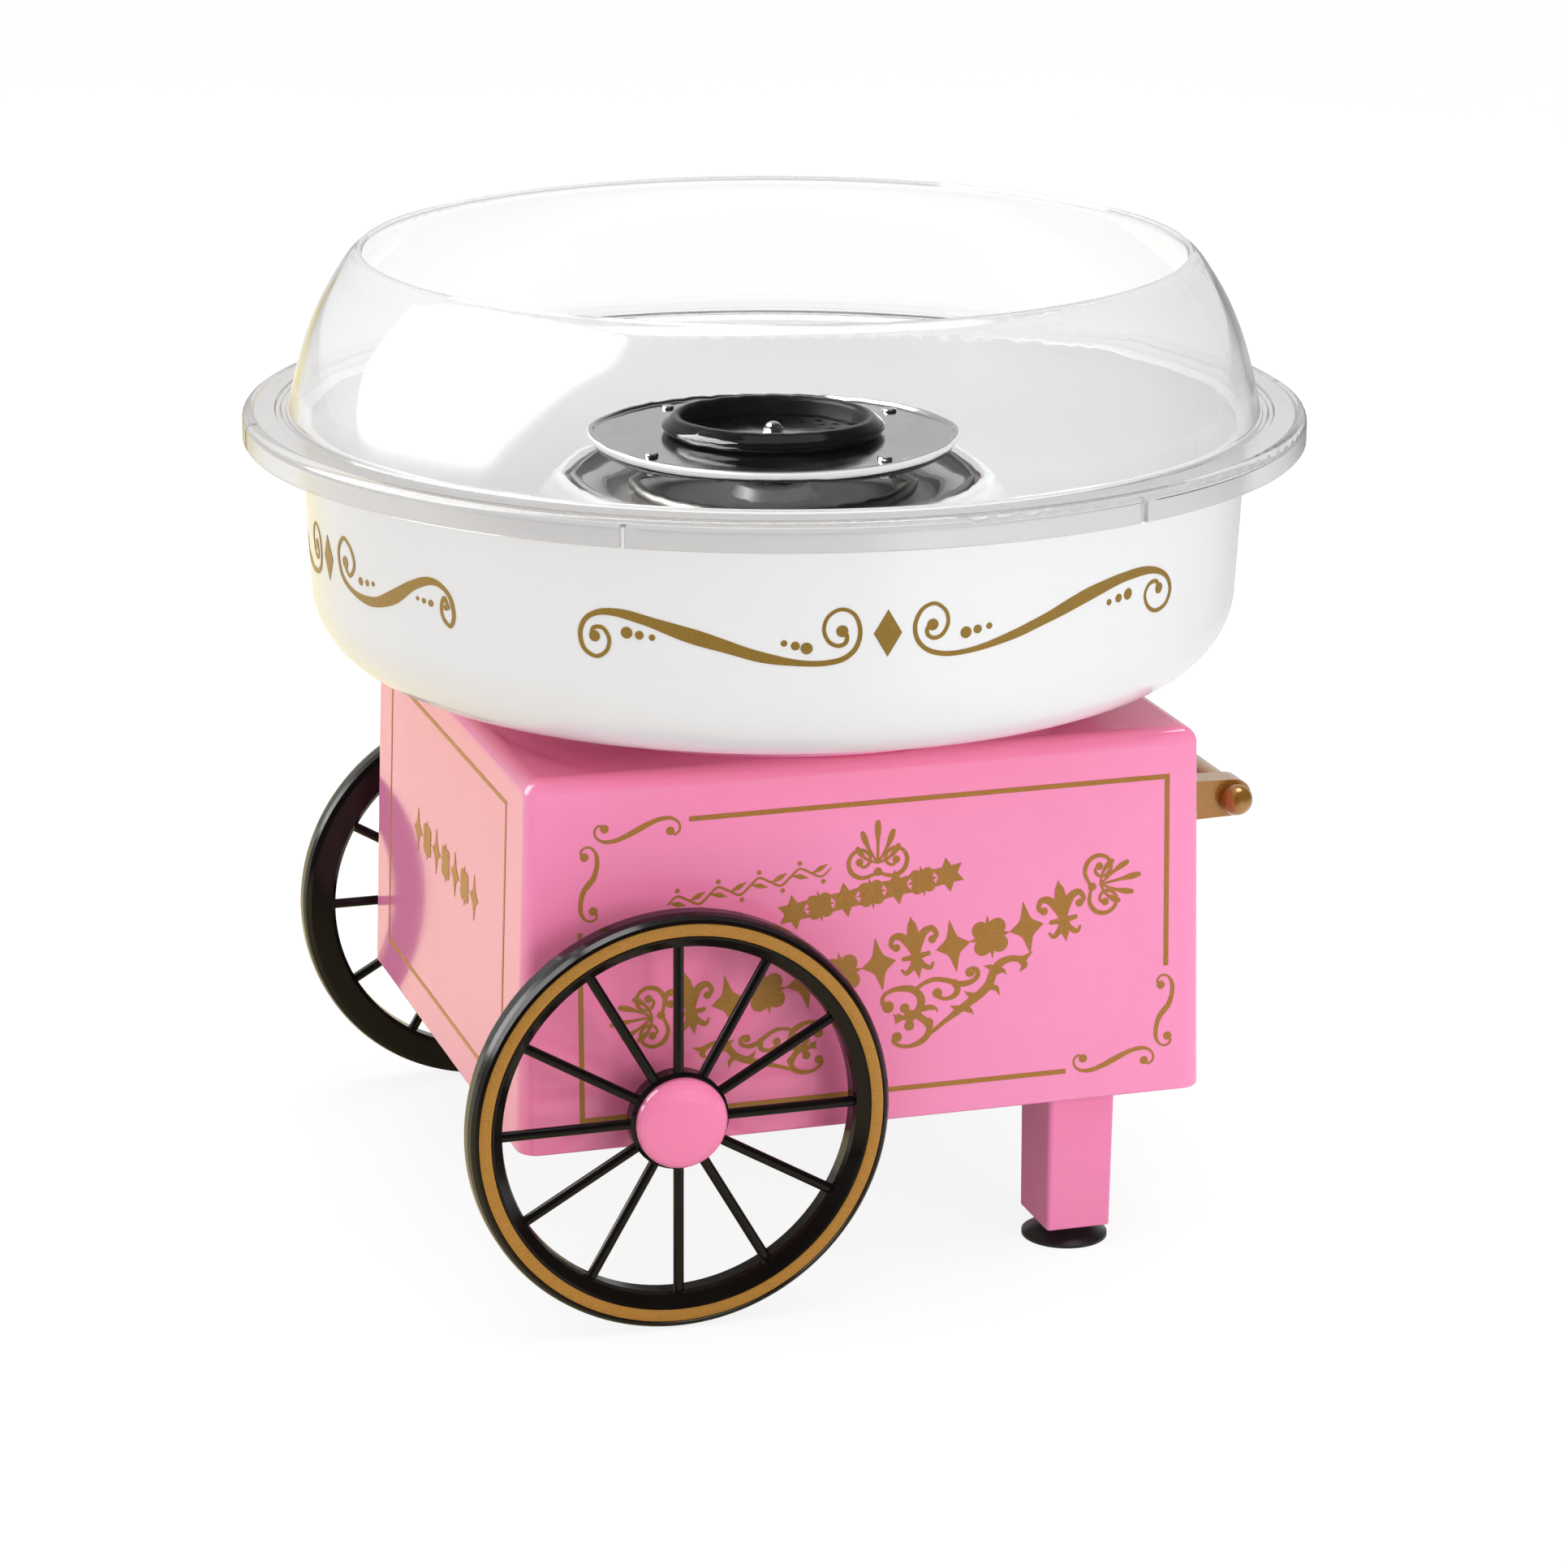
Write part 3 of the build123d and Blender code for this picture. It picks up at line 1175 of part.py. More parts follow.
def make_strain_relief():
    with BuildPart() as relief:
        section = Plane(origin=(CORD_X, 0, CORD_Z), x_dir=(1, 0, 0), z_dir=(0, 0, 1))
        with BuildSketch(section):
            with BuildLine():
                Polyline(*RELIEF_OUTLINE, close=True)
            make_face()
        revolve(axis=Axis((CORD_X, 0, CORD_Z), (0, 1, 0)))
    save(relief, "strain_relief")


def loop_points():
    """Clockwise turns seen from above, stepping down to the ground."""
    points = []
    for i in range(POINTS_PER_TURN * LOOP_TURNS + 1):
        turn = i / POINTS_PER_TURN
        angle = radians(90) - 2 * pi * turn
        points.append((LOOP_X + LOOP_HALF_X * cos(angle), LOOP_Y + LOOP_HALF_Y * sin(angle),
                       CORD_GROUND_Z + LOOP_PITCH * (LOOP_TURNS - turn)))
    return points


def make_power_cord():
    """Sweep the cord and return its direction at the plug end."""
    with BuildPart() as cord:
        with BuildLine() as path:
            Spline(*CORD_LEAD_IN, *loop_points(), *CORD_LEAD_OUT)
        with BuildSketch(Plane(origin=path.line @ 0, z_dir=path.line % 0)):
            Circle(CORD_R)
        sweep(path=path.line)
    save(cord, "power_cord")
    return (path.line % 1).normalized()


def make_plug(direction):
    origin = Vector(*CORD_LEAD_OUT[-1]) + direction * 0.05
    plug_plane = Plane(origin=origin, x_dir=(0, 0, 1), z_dir=direction)
    neck_length, grip_length = 7.0, 9.0
    with BuildPart() as body:
        with BuildSketch(plug_plane):
            RectangleRounded(8.0, 8.0, 2.0)
        with BuildSketch(plug_plane.offset(neck_length)):
            RectangleRounded(8.6, 15.0, 2.5)
        loft()
        with BuildSketch(plug_plane.offset(neck_length)):
            RectangleRounded(8.6, 15.0, 2.5)
        extrude(amount=grip_length)
    save(body, "plug_body")

    with BuildPart() as blades:
        with BuildSketch(plug_plane.offset(neck_length + grip_length + 0.05)):
            with Locations((0, -6.35), (0, 6.35)):
                Rectangle(6.2, 1.5)
        extrude(amount=15.0)
    save(blades, "plug_blades")


# ==================================================================
# Rectifier board, its parts, and the leads
# ==================================================================
WIRE_R = 0.9
WIRE_CORD_Y = CORD_Y - 8.8
WIRE_SWITCH_Y = SWITCH_Y - 21.2
WIRE_BOARD_Z = 125.2
# centre line x, y, z of each lead
WIRE_RUNS = [
    # cord to switch
    [(CORD_X + 3, WIRE_CORD_Y, CORD_Z), (CORD_X + 14, CORD_Y - 20, CORD_Z + 2),
     (SWITCH_X - 16, SWITCH_Y - 26, SWITCH_Z - 4),
     (SWITCH_X - SWITCH_TERMINAL_X, WIRE_SWITCH_Y, SWITCH_Z)],
    # cord to board
    [(CORD_X - 3, WIRE_CORD_Y, CORD_Z), (CORD_X - 20, CORD_Y - 26, CORD_Z + 12),
     (-60, 40, 96), (-70, 22, WIRE_BOARD_Z)],
    # switch to board
    [(SWITCH_X + SWITCH_TERMINAL_X, WIRE_SWITCH_Y, SWITCH_Z),
     (SWITCH_X + 2, SWITCH_Y - 34, SWITCH_Z + 16), (-10, 44, 104), (-66, 18, WIRE_BOARD_Z)],
    # board to the two brushes
    [(-64, -18, WIRE_BOARD_Z), (-50, -20, 104), (-20, -20, 98), (-2, -12.6, 112)],
    [(-64, -6, WIRE_BOARD_Z), (-46, 0, 100), (-18, 14, 98), (-2, 12.6, 112)],
    # board to the heater
    [(-64, 12, WIRE_BOARD_Z), (-46, 26, 122), (-24, 31, 150), (-7, 32, 171), (-5.8, 32, 181),
     (-7.4, 36.4, 185.2)],
]


def make_board():
    with BuildPart() as board:
        with BuildSketch(Plane.XY.offset(BOARD_Z)):
            with Locations((-74.5, 0)):
                RectangleRounded(26, 52, 1.0)
            with Locations(*BOARD_POST_SPOTS):
                Circle(1.6, mode=Mode.SUBTRACT)
        extrude(amount=1.6)
    save(board, "rectifier_board")


def make_board_components():
    """Square block, round can and oblong block hanging under the board."""
    top_z = BOARD_Z - 0.05
    square_height, can_height, oblong_height = 10.05, 18.25, 6.25
    with BuildPart() as components:
        with BuildSketch(Plane.XY.offset(top_z - square_height)):
            with Locations((-72, -12)):
                Rectangle(9, 9)
        extrude(amount=square_height)
        with BuildSketch(Plane.XY.offset(top_z - can_height)):
            with Locations((-72, 10)):
                Circle(6.0)
        extrude(amount=can_height)
        with BuildSketch(Plane.XY.offset(top_z - oblong_height)):
            with Locations((-82, 0)):
                Rectangle(5, 12)
        extrude(amount=oblong_height)
    save(components, "board_components")


def make_wiring():
    with BuildPart() as wiring:
        for run in WIRE_RUNS:
            with BuildLine() as path:
                Spline(*run)
            with BuildSketch(Plane(origin=path.line @ 0, z_dir=path.line % 0)):
                Circle(WIRE_R)
            sweep(path=path.line)
    save(wiring, "wiring")


# ==================================================================
# Build every piece
# ==================================================================
make_housing()
make_base_plate()
make_base_screws()
make_leg_screws()

make_axle()
make_axle_sleeves("axle_bushings", [(88.55, 5.0, 11.5, -1), (78.5, 7.0, 1.95, -1)])
make_axle_sleeves("axle_spacers", [(88.62, 5.6, 9.5, 1)])
make_axle_clips()

for make_piece in (make_leg, make_foot, make_wheel, make_hub_cap):
    for side, side_name in SIDES:
        make_piece(side, side_name)

make_push_handle()
make_handle_screws()
make_tower()
make_tower_screws()

make_heater_pan()
make_heater_coil()
make_heater_bushings()
make_coil_supports()
make_thermal_cutout()

make_motor_can()
make_motor_end_cap()
make_motor_magnets()
make_motor_bearings()
make_motor_shaft()
make_armature_core()
make_windings()
make_commutator()
make_brushes()
make_motor_plate()
make_grommets()
make_plate_screws()
make_motor_screws()

make_drive_pin()
make_head_hub()
make_head_dish()
make_head_disc()
make_head_rivets()
make_sugar_ring()
make_dome_nut()
make_bowl()
make_rim_guard()

make_switch_body()
make_switch_rocker()
make_strain_relief()
make_plug(direction=make_power_cord())

make_board()
make_board_components()
save_stacks("board_screws", BOARD_POST_SPOTS, [(124.4, 2.6, 1.85), (125.4, 1.25, 10)])
make_wiring()
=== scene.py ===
import math

import bmesh
import bpy
import numpy as np
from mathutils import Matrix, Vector
from mathutils.geometry import delaunay_2d_cdt


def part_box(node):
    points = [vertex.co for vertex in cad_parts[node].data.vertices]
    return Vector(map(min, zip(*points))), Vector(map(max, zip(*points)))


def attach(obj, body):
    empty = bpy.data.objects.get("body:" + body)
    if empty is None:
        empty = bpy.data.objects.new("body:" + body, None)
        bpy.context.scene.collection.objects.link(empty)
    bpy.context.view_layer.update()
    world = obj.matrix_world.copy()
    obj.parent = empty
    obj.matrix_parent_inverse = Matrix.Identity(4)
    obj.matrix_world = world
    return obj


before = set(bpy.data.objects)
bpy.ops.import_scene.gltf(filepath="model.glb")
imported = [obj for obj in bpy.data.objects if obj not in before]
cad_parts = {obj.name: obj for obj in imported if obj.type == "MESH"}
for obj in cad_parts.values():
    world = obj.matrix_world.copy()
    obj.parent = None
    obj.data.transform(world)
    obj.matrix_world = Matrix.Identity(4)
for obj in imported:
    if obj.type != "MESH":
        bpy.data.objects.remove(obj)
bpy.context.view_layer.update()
scene = bpy.context.scene
MM = 0.001  # prints are drawn in millimetres, everything else in metres


# ---------------------------------------------------------------------------
# node helpers
# ---------------------------------------------------------------------------
def srgb(*channels):
    """An sRGB colour in 0..255 as linear RGBA."""
    shares = [c / 255.0 for c in channels]
    return tuple(c / 12.92 if c <= 0.04045 else ((c + 0.055) / 1.055) ** 2.4
                 for c in shares) + (1.0,)


def grey(level):
    return (level, level, level, 1.0)


def scaled(colour, factor):
    return tuple(min(1.0, c * factor) for c in colour[:3]) + (1.0,)


class Nodes:
    """Builds the node tree of a material or a world, one node at a time.

    Material coordinates are in the piece's own metres. Methods return output sockets.
    """

    def __init__(self, owner, output="ShaderNodeOutputMaterial", coordinates="Object"):
        self.owner = owner
        owner.use_nodes = True
        self.tree = owner.node_tree
        self.tree.nodes.clear()
        self.output = self.node(output)
        self.position = self.node("ShaderNodeTexCoord").outputs[coordinates]

    def node(self, kind, **settings):
        node = self.tree.nodes.new(kind)
        for key, value in settings.items():
            setattr(node, key, value)
        return node

    def put(self, socket, value):
        """Links a socket or sets a constant."""
        if isinstance(value, bpy.types.NodeSocket):
            self.tree.links.new(value, socket)
        else:
            socket.default_value = value

    def calc(self, operation, a, b=0.0, clamp=False):
        node = self.node("ShaderNodeMath", operation=operation, use_clamp=clamp)
        self.put(node.inputs[0], a)
        self.put(node.inputs[1], b)
        return node.outputs[0]

    def noise(self, scale, detail=3.0, rough=0.55, stretch=None, distortion=0.0, along=None):
        """Noise in space, or in one dimension over the value `along`."""
        position = self.position
        if stretch is not None:
            mapping = self.node("ShaderNodeMapping")
            mapping.inputs["Scale"].default_value = stretch
            self.put(mapping.inputs["Vector"], position)
            position = mapping.outputs["Vector"]
        node = self.node("ShaderNodeTexNoise")
        if along is None:
            self.put(node.inputs["Vector"], position)
        else:
            node.noise_dimensions = "1D"
            self.put(node.inputs["W"], along)
        node.inputs["Scale"].default_value = scale
        node.inputs["Detail"].default_value = detail
        node.inputs["Roughness"].default_value = rough
        node.inputs["Distortion"].default_value = distortion
        return node.outputs["Fac"]

    def span(self, value, low=0.0, high=1.0, start=0.3, end=0.7, curve="LINEAR"):
        """Maps start..end onto low..high and holds the ends."""
        node = self.node("ShaderNodeMapRange", interpolation_type=curve, clamp=True)
        self.put(node.inputs["Value"], value)
        node.inputs["From Min"].default_value = start
        node.inputs["From Max"].default_value = end
        node.inputs["To Min"].default_value = low
        node.inputs["To Max"].default_value = high
        return node.outputs["Result"]

    def mix(self, factor, a, b):
        node = self.node("ShaderNodeMix", data_type="RGBA")
        self.put(node.inputs[0], factor)
        self.put(node.inputs[6], a)
        self.put(node.inputs[7], b)
        return node.outputs[2]

    def bump(self, height, distance, normal=None):
        node = self.node("ShaderNodeBump")
        self.put(node.inputs["Height"], height)
        node.inputs["Distance"].default_value = distance
        node.inputs["Strength"].default_value = 1.0
        if normal is not None:
            self.put(node.inputs["Normal"], normal)
        return node.outputs["Normal"]

    def shader(self, kind, **inputs):
        """A shader node; input names are written with underscores for spaces."""
        node = self.node(kind)
        for key, value in inputs.items():
            self.put(node.inputs[key.replace("_", " ")], value)
        return node.outputs[0]

    def mix_shader(self, factor, a, b):
        node = self.node("ShaderNodeMixShader")
        for socket, value in zip(node.inputs, (factor, a, b)):
            self.put(socket, value)
        return node.outputs[0]

    def light_path(self):
        return self.node("ShaderNodeLightPath").outputs

    def axes(self):
        node = self.node("ShaderNodeSeparateXYZ")
        self.put(node.inputs[0], self.position)
        return node.outputs

    def radius(self):
        """Distance from the Z axis."""
        axes = self.axes()
        x = self.calc("SUBTRACT", axes[0], 0.0)  # the axis lies at x = 0, y = 0
        y = self.calc("SUBTRACT", axes[1], 0.0)
        x_squared = self.calc("MULTIPLY", x, x)
        y_squared = self.calc("MULTIPLY", y, y)
        return self.calc("SQRT", self.calc("ADD", x_squared, y_squared))

    def surface(self, shader):
        """Links the final shader and hands back the finished material or world."""
        self.put(self.output.inputs["Surface"], shader)
        return self.owner

    def principled(self, **inputs):
        return self.surface(self.shader("ShaderNodeBsdfPrincipled", **inputs))


def new_material(name):
    return Nodes(bpy.data.materials.new(name))


# ---------------------------------------------------------------------------
# finishes: noise scales are per metre, bump depths in metres
# ---------------------------------------------------------------------------
def plastic(name, colour, rough, mottle, coat=0.0, coat_rough=0.06, peel=6e-6, grain=2e-6,
            grain_scale=1400.0, ior=1.5, dusty=0.0, painted_shade=None):
    """Moulded plastic: flow mottling in the colour, a fine grain and a slow orange peel.

    The last argument is a deeper colour painted into creases and corners as painted shade.
    """
    m = new_material(name)
    flow = m.noise(26.0, detail=4.0, rough=0.6, distortion=0.6)
    fine = m.noise(420.0, detail=2.0)
    base = m.mix(m.span(flow), scaled(colour, 1.0 - mottle), scaled(colour, 1.0 + mottle * 0.6))
    base = m.mix(m.span(fine, high=0.35), base, scaled(colour, 1.0 - mottle * 0.7))
    if painted_shade is not None:
        # painted shade: where ambient occlusion finds creases, corners and near walls, the colour
        # turns deeper
        occlusion = m.node("ShaderNodeAmbientOcclusion", samples=6)
        occlusion.inputs["Distance"].default_value = 0.035
        painted_shade_mask = m.span(occlusion.outputs["AO"], low=0.5, high=0.0, start=0.6, end=0.97)
        base = m.mix(painted_shade_mask, base, painted_shade)
    wear = m.noise(75.0, detail=6.0, rough=0.7)
    roughness = m.calc("ADD", m.span(fine, low=rough * 0.86, high=rough * 1.12),
                       m.span(wear, high=0.05 + dusty, start=0.56, end=0.72))
    peeled = m.bump(m.noise(190.0, detail=2.0), peel)
    grained = m.bump(m.noise(grain_scale, detail=2.0), grain, normal=peeled)
    coat_normal = {"Coat_Normal": peeled} if coat else {}
    return m.principled(Base_Color=base, Roughness=roughness, Normal=grained, IOR=ior,
                        Coat_Weight=coat, Coat_Roughness=coat_rough, Coat_IOR=1.5, **coat_normal)


def metal(name, colour, rough, mottle=0.06, stretch=None, stain=None, stain_amount=0.4):
    """Sheet or drawn metal: a grain, slight stains and uneven polish."""
    m = new_material(name)
    grain = m.noise(900.0, rough=0.6, stretch=stretch)
    patches = m.noise(48.0, detail=5.0, rough=0.65, distortion=0.4)
    base = m.mix(m.span(grain), scaled(colour, 1.0 - mottle), scaled(colour, 1.0 + mottle))
    if stain is not None:
        base = m.mix(m.span(patches, high=stain_amount, start=0.5, end=0.75), base, stain)
    roughness = m.calc("ADD", m.span(grain, low=rough * 0.8, high=rough * 1.2),
                       m.span(patches, high=0.10, start=0.45, end=0.75))
    return m.principled(Base_Color=base, Metallic=1.0, Roughness=roughness,
                        Normal=m.bump(grain, 2e-6))


def turned_metal(name, colour, rough, pitch, depth, aniso, dark, bare=1.0, level=0.5,
                 rim=None, lip=None):
    """Spun sheet metal with fine rings about Z in colour, gloss and surface.

    pitch is the ring spacing, dark the darkest ring's share of the colour and bare the
    metallic share. From radius rim outwards the metal is pale grey, dull and barely
    metallic, a painted highlight that the lamps light into a white line; from radius lip
    outwards it is darker and rougher.
    """
    m = new_material(name)
    radius = m.radius()
    jitter = m.calc("MULTIPLY", m.noise(60.0, detail=2.0), 0.0012)
    wavering = m.calc("ADD", radius, jitter)
    rings = m.noise(1.0, detail=4.0, rough=0.7, along=m.calc("MULTIPLY", wavering, 1.0 / pitch))
    smudge = m.noise(70.0, detail=5.0, rough=0.6, distortion=0.8)
    base = m.mix(m.span(rings), scaled(colour, dark), colour)
    base = m.mix(m.span(smudge, high=0.25, start=0.5, end=0.7), base,
                 scaled(colour, dark * 0.85))
    roughness = m.calc("ADD", m.span(rings, low=rough * 0.8, high=rough * 1.25),
                       m.span(smudge, high=0.08, start=0.45, end=0.7))
    metallic = bare
    # from radius lip outwards the metal turns darker and rougher
    if lip is not None:
        darker_beyond_lip = m.span(radius, start=lip - 0.0012, end=lip)
        base = m.mix(darker_beyond_lip, base, scaled(colour, 0.3))
        roughness = m.calc("ADD", roughness, m.calc("MULTIPLY", darker_beyond_lip, 0.2))
    # painted highlight: past radius rim the edge turns pale grey, dull and barely metallic so the
    # lamps light a white line along it
    if rim is not None:
        edge = m.span(radius, start=rim - 0.0003, end=rim)
        base = m.mix(edge, base, grey(0.80))
        roughness = m.calc("ADD", roughness, m.calc("MULTIPLY", edge, 0.3))
        metallic = m.calc("SUBTRACT", 1.0, m.calc("MULTIPLY", edge, 0.9))
    tangent = m.node("ShaderNodeTangent", direction_type="RADIAL", axis="Z").outputs[0]
    return m.principled(Base_Color=base, Metallic=metallic, Roughness=roughness,
                        Anisotropic=aniso, Normal=m.bump(rings, depth),
                        Specular_IOR_Level=level, Tangent=tangent)


def clear_plastic(name):
    """Clear moulded styrene, hazier at the flange and the top lip.

    It bends light for the eye, lets lamp light straight through, and lets what shines
    inside the guard see the studio undistorted.
    """
    m = new_material(name)
    haze = m.noise(520.0)
    flow = m.noise(34.0, rough=0.5, stretch=(1.0, 1.0, 0.6), distortion=0.5)
    flange = m.span(m.radius(), start=0.1335, end=0.1352)
    lip = m.calc("MULTIPLY", m.span(m.axes()[2], start=0.262, end=0.2665), 0.06)
    hazy = m.calc("MAXIMUM", m.calc("MULTIPLY", flange, 0.11), lip)
    roughness = m.calc("ADD", m.span(haze, high=0.02, start=0.45, end=0.75), hazy)
    weight = m.node("ShaderNodeLayerWeight")
    weight.inputs["Blend"].default_value = 0.5
    flange_tint = m.mix(m.span(weight.outputs["Facing"], start=0.80, end=0.98),
                        (0.915, 0.910, 0.906, 1.0), (0.64, 0.635, 0.63, 1.0))
    tint = m.mix(flange, (0.985, 0.985, 0.987, 1.0), flange_tint)
    glass = m.shader("ShaderNodeBsdfGlass", IOR=1.49, Roughness=roughness, Color=tint,
                     Normal=m.bump(flow, 1.5e-6))
    through = m.shader("ShaderNodeBsdfTransparent", Color=(0.98, 0.98, 0.982, 1.0))

    path = m.light_path()
    # an even count of crossings counts as inside the guard
    parity = m.calc("MODULO", path["Transmission Depth"], 2.0)
    from_within = m.calc("MULTIPLY", path["Is Glossy Ray"],
                         m.calc("SUBTRACT", 1.0, parity, clamp=True))
    from_within = m.calc("MULTIPLY", from_within,
                         m.calc("GREATER_THAN", path["Ray Depth"], 0.5))
    lamp_light = m.calc("MAXIMUM", path["Is Shadow Ray"], path["Is Diffuse Ray"])
    unbent = m.calc("MAXIMUM", lamp_light, from_within)
    # rays caught between the walls end in an even glow
    glow = m.shader("ShaderNodeEmission", Color=(0.80, 0.80, 0.805, 1.0))
    bent = m.mix_shader(m.calc("GREATER_THAN", path["Ray Depth"], 5.5), glass, glow)
    return m.surface(m.mix_shader(unbent, bent, through))


def gold_plastic(name):
    m = new_material(name)
    flake = m.noise(3000.0, detail=2.0, rough=0.7)
    flow = m.noise(60.0, detail=4.0, rough=0.6, distortion=0.5)
    gold = srgb(172, 122, 50)
    base = m.mix(m.span(flake, start=0.35, end=0.65), scaled(gold, 0.9), scaled(gold, 1.12))
    base = m.mix(m.span(flow, high=0.3), base, scaled(gold, 0.82))
    return m.principled(Base_Color=base, Metallic=0.55,
                        Roughness=m.span(flake, low=0.24, high=0.34), Coat_Weight=1.0,
                        Coat_Roughness=0.1, Normal=m.bump(flake, 5e-6))


def ring_plastic(name):
    """Polished black phenolic: glossy outside, matt where sugar has scoured the inside."""
    m = new_material(name)
    outer = m.span(m.radius(), start=0.0262, end=0.0275)
    wear = m.noise(130.0, detail=5.0, rough=0.65)
    base = m.mix(m.span(wear), (0.0035, 0.0035, 0.004, 1), (0.006, 0.006, 0.0062, 1))
    roughness = m.calc("ADD", m.mix(outer, grey(0.42), grey(0.07)),
                       m.span(wear, high=0.03, start=0.5, end=0.75))
    return m.principled(
        Base_Color=base, Roughness=roughness,
        Normal=m.bump(m.noise(160.0, detail=2.0), 5e-6),
        Coat_Weight=m.calc("MULTIPLY", outer, 0.15), Coat_Roughness=0.03,
        Specular_IOR_Level=m.calc("ADD", 0.09, m.calc("MULTIPLY", outer, 0.06)))


def gold_ink(name, colour, metallic=0.15, rough=0.42):
    """Printed gold: flake sparkle and slightly uneven laydown."""
    m = new_material(name)
    flake = m.noise(2600.0, detail=2.0, rough=0.7)
    laydown = m.noise(240.0, detail=4.0, rough=0.6)
    base = m.mix(m.span(flake, start=0.35, end=0.65), scaled(colour, 0.82), scaled(colour, 1.16))
    base = m.mix(m.span(laydown, high=0.4, start=0.5, end=0.8), base, scaled(colour, 0.78))
    return m.principled(Base_Color=base, Metallic=metallic,
                        Roughness=m.span(flake, low=rough * 0.8, high=rough * 1.25),
                        Normal=m.bump(flake, 8e-6))


PINK = (0.93, 0.285, 0.515, 1.0)
POLISHED = dict(peel=5e-6, grain=1e-6)

# (maker, material name, settings)
FINISHES = (
    # the pink housing takes a deeper pink in its creases and under the bowl as painted shade
    (plastic, "pink_plastic", dict(colour=PINK, painted_shade=(0.96, 0.155, 0.28, 1.0), rough=0.10,
                                   coat=0.22, coat_rough=0.03, mottle=0.035, **POLISHED)),
    (plastic, "white_plastic", dict(colour=(0.84, 0.84, 0.842, 1), rough=0.2, coat=0.25,
                                    coat_rough=0.08, mottle=0.012, **POLISHED)),
    (clear_plastic, "clear_plastic", {}),
    (plastic, "black_plastic", dict(colour=(0.004, 0.004, 0.0045, 1), rough=0.1, coat=0.7,
                                    coat_rough=0.03, mottle=0.3, **POLISHED)),
    (plastic, "wheel_plastic", dict(colour=(0.0060, 0.0045, 0.0038, 1), rough=0.13, mottle=0.3,
                                    grain=1e-6, dusty=0.02, ior=1.36)),
    (plastic, "tower_plastic", dict(colour=PINK, rough=0.22, coat=0.5, mottle=0.04, peel=8e-6)),
    (plastic, "inner_plastic", dict(colour=srgb(214, 212, 206), rough=0.42, mottle=0.05,
                                    grain=5e-6)),
    (plastic, "foot_rubber", dict(colour=grey(0.010), rough=0.34, coat=0.2, coat_rough=0.2,
                                  mottle=0.35, grain=5e-6, dusty=0.08)),
    (plastic, "cord_rubber", dict(colour=grey(0.014), rough=0.45, mottle=0.3, grain=8e-6,
                                  grain_scale=2200.0, dusty=0.08)),
    (plastic, "component_dark", dict(colour=(0.03, 0.03, 0.034, 1), rough=0.4, mottle=0.3,
                                     grain=6e-6)),
    (plastic, "wire_red", dict(colour=srgb(176, 34, 30), rough=0.35, mottle=0.12, grain=4e-6)),
    (plastic, "board_green", dict(colour=srgb(28, 96, 58), rough=0.3, coat=0.4, mottle=0.18,
                                  grain_scale=800.0)),
    (plastic, "ceramic_white", dict(colour=srgb(236, 232, 222), rough=0.3, coat=0.3,
                                    mottle=0.06, grain=6e-6)),
    (plastic, "magnet", dict(colour=(0.045, 0.045, 0.05, 1), rough=0.5, mottle=0.3, grain=1e-5)),
    (turned_metal, "pan_metal", dict(colour=(0.74, 0.74, 0.735, 1), rough=0.42, pitch=0.0011,
                                     depth=3e-6, aniso=0.1, dark=0.86, bare=0.25, level=0.2,
                                     lip=0.0542)),
    # the disc's edge from radius rim outwards carries a pale painted highlight
    (turned_metal, "head_aluminium", dict(colour=(0.50, 0.50, 0.496, 1), rough=0.09,
                                          pitch=0.00035, depth=1.2e-6, aniso=0.3, dark=0.88,
                                          rim=0.0518)),
    (metal, "steel", dict(colour=(0.46, 0.46, 0.47, 1), rough=0.28, stain=(0.22, 0.2, 0.18, 1))),
    (metal, "bright_steel", dict(colour=(0.74, 0.74, 0.75, 1), rough=0.14, mottle=0.04)),
    (metal, "motor_steel", dict(colour=(0.52, 0.52, 0.53, 1), rough=0.3, stretch=(1, 1, 0.15),
                                stain=(0.3, 0.29, 0.27, 1))),
    (metal, "copper", dict(colour=srgb(196, 112, 66), rough=0.24, stretch=(1, 1, 0.3),
                           stain=srgb(120, 60, 34))),
    (metal, "brass", dict(colour=srgb(206, 168, 88), rough=0.22, stain=srgb(150, 112, 52))),
    (metal, "heater_alloy", dict(colour=srgb(128, 126, 122), rough=0.36,
                                 stain=srgb(104, 96, 96), stain_amount=0.5)),
    (gold_plastic, "gold_plastic", {}),
    (ring_plastic, "ring_plastic", {}),
    (gold_ink, "gold_ink_box", dict(colour=srgb(170, 120, 50))),
    (gold_ink, "gold_ink_bowl", dict(colour=srgb(148, 116, 42))),
    (gold_ink, "gold_ink_wheel", dict(colour=srgb(182, 130, 56), metallic=0.3, rough=0.34)),
    # a darker, duller copy of the pink plastic for the legs: the darker pink is painted shade for
    # their shaded sides, the lower gloss keeps pale reflections off them
    (plastic, "leg_plastic", dict(colour=(0.90, 0.26, 0.47, 1.0), rough=0.38, mottle=0.03,
                                  ior=1.28)),
    # a dark, dull copy of the head's aluminium: painted shade for the hub and dish under the disc
    (metal, "head_underside", dict(colour=grey(0.07), rough=0.55, stain=grey(0.05))),
    (plastic, "hub_plastic", dict(colour=(0.90, 0.225, 0.425, 1.0), rough=0.14, coat=0.25,
                                  coat_rough=0.03, mottle=0.03, **POLISHED)),
)
MATERIALS = {name: make(name, **settings) for make, name, settings in FINISHES}

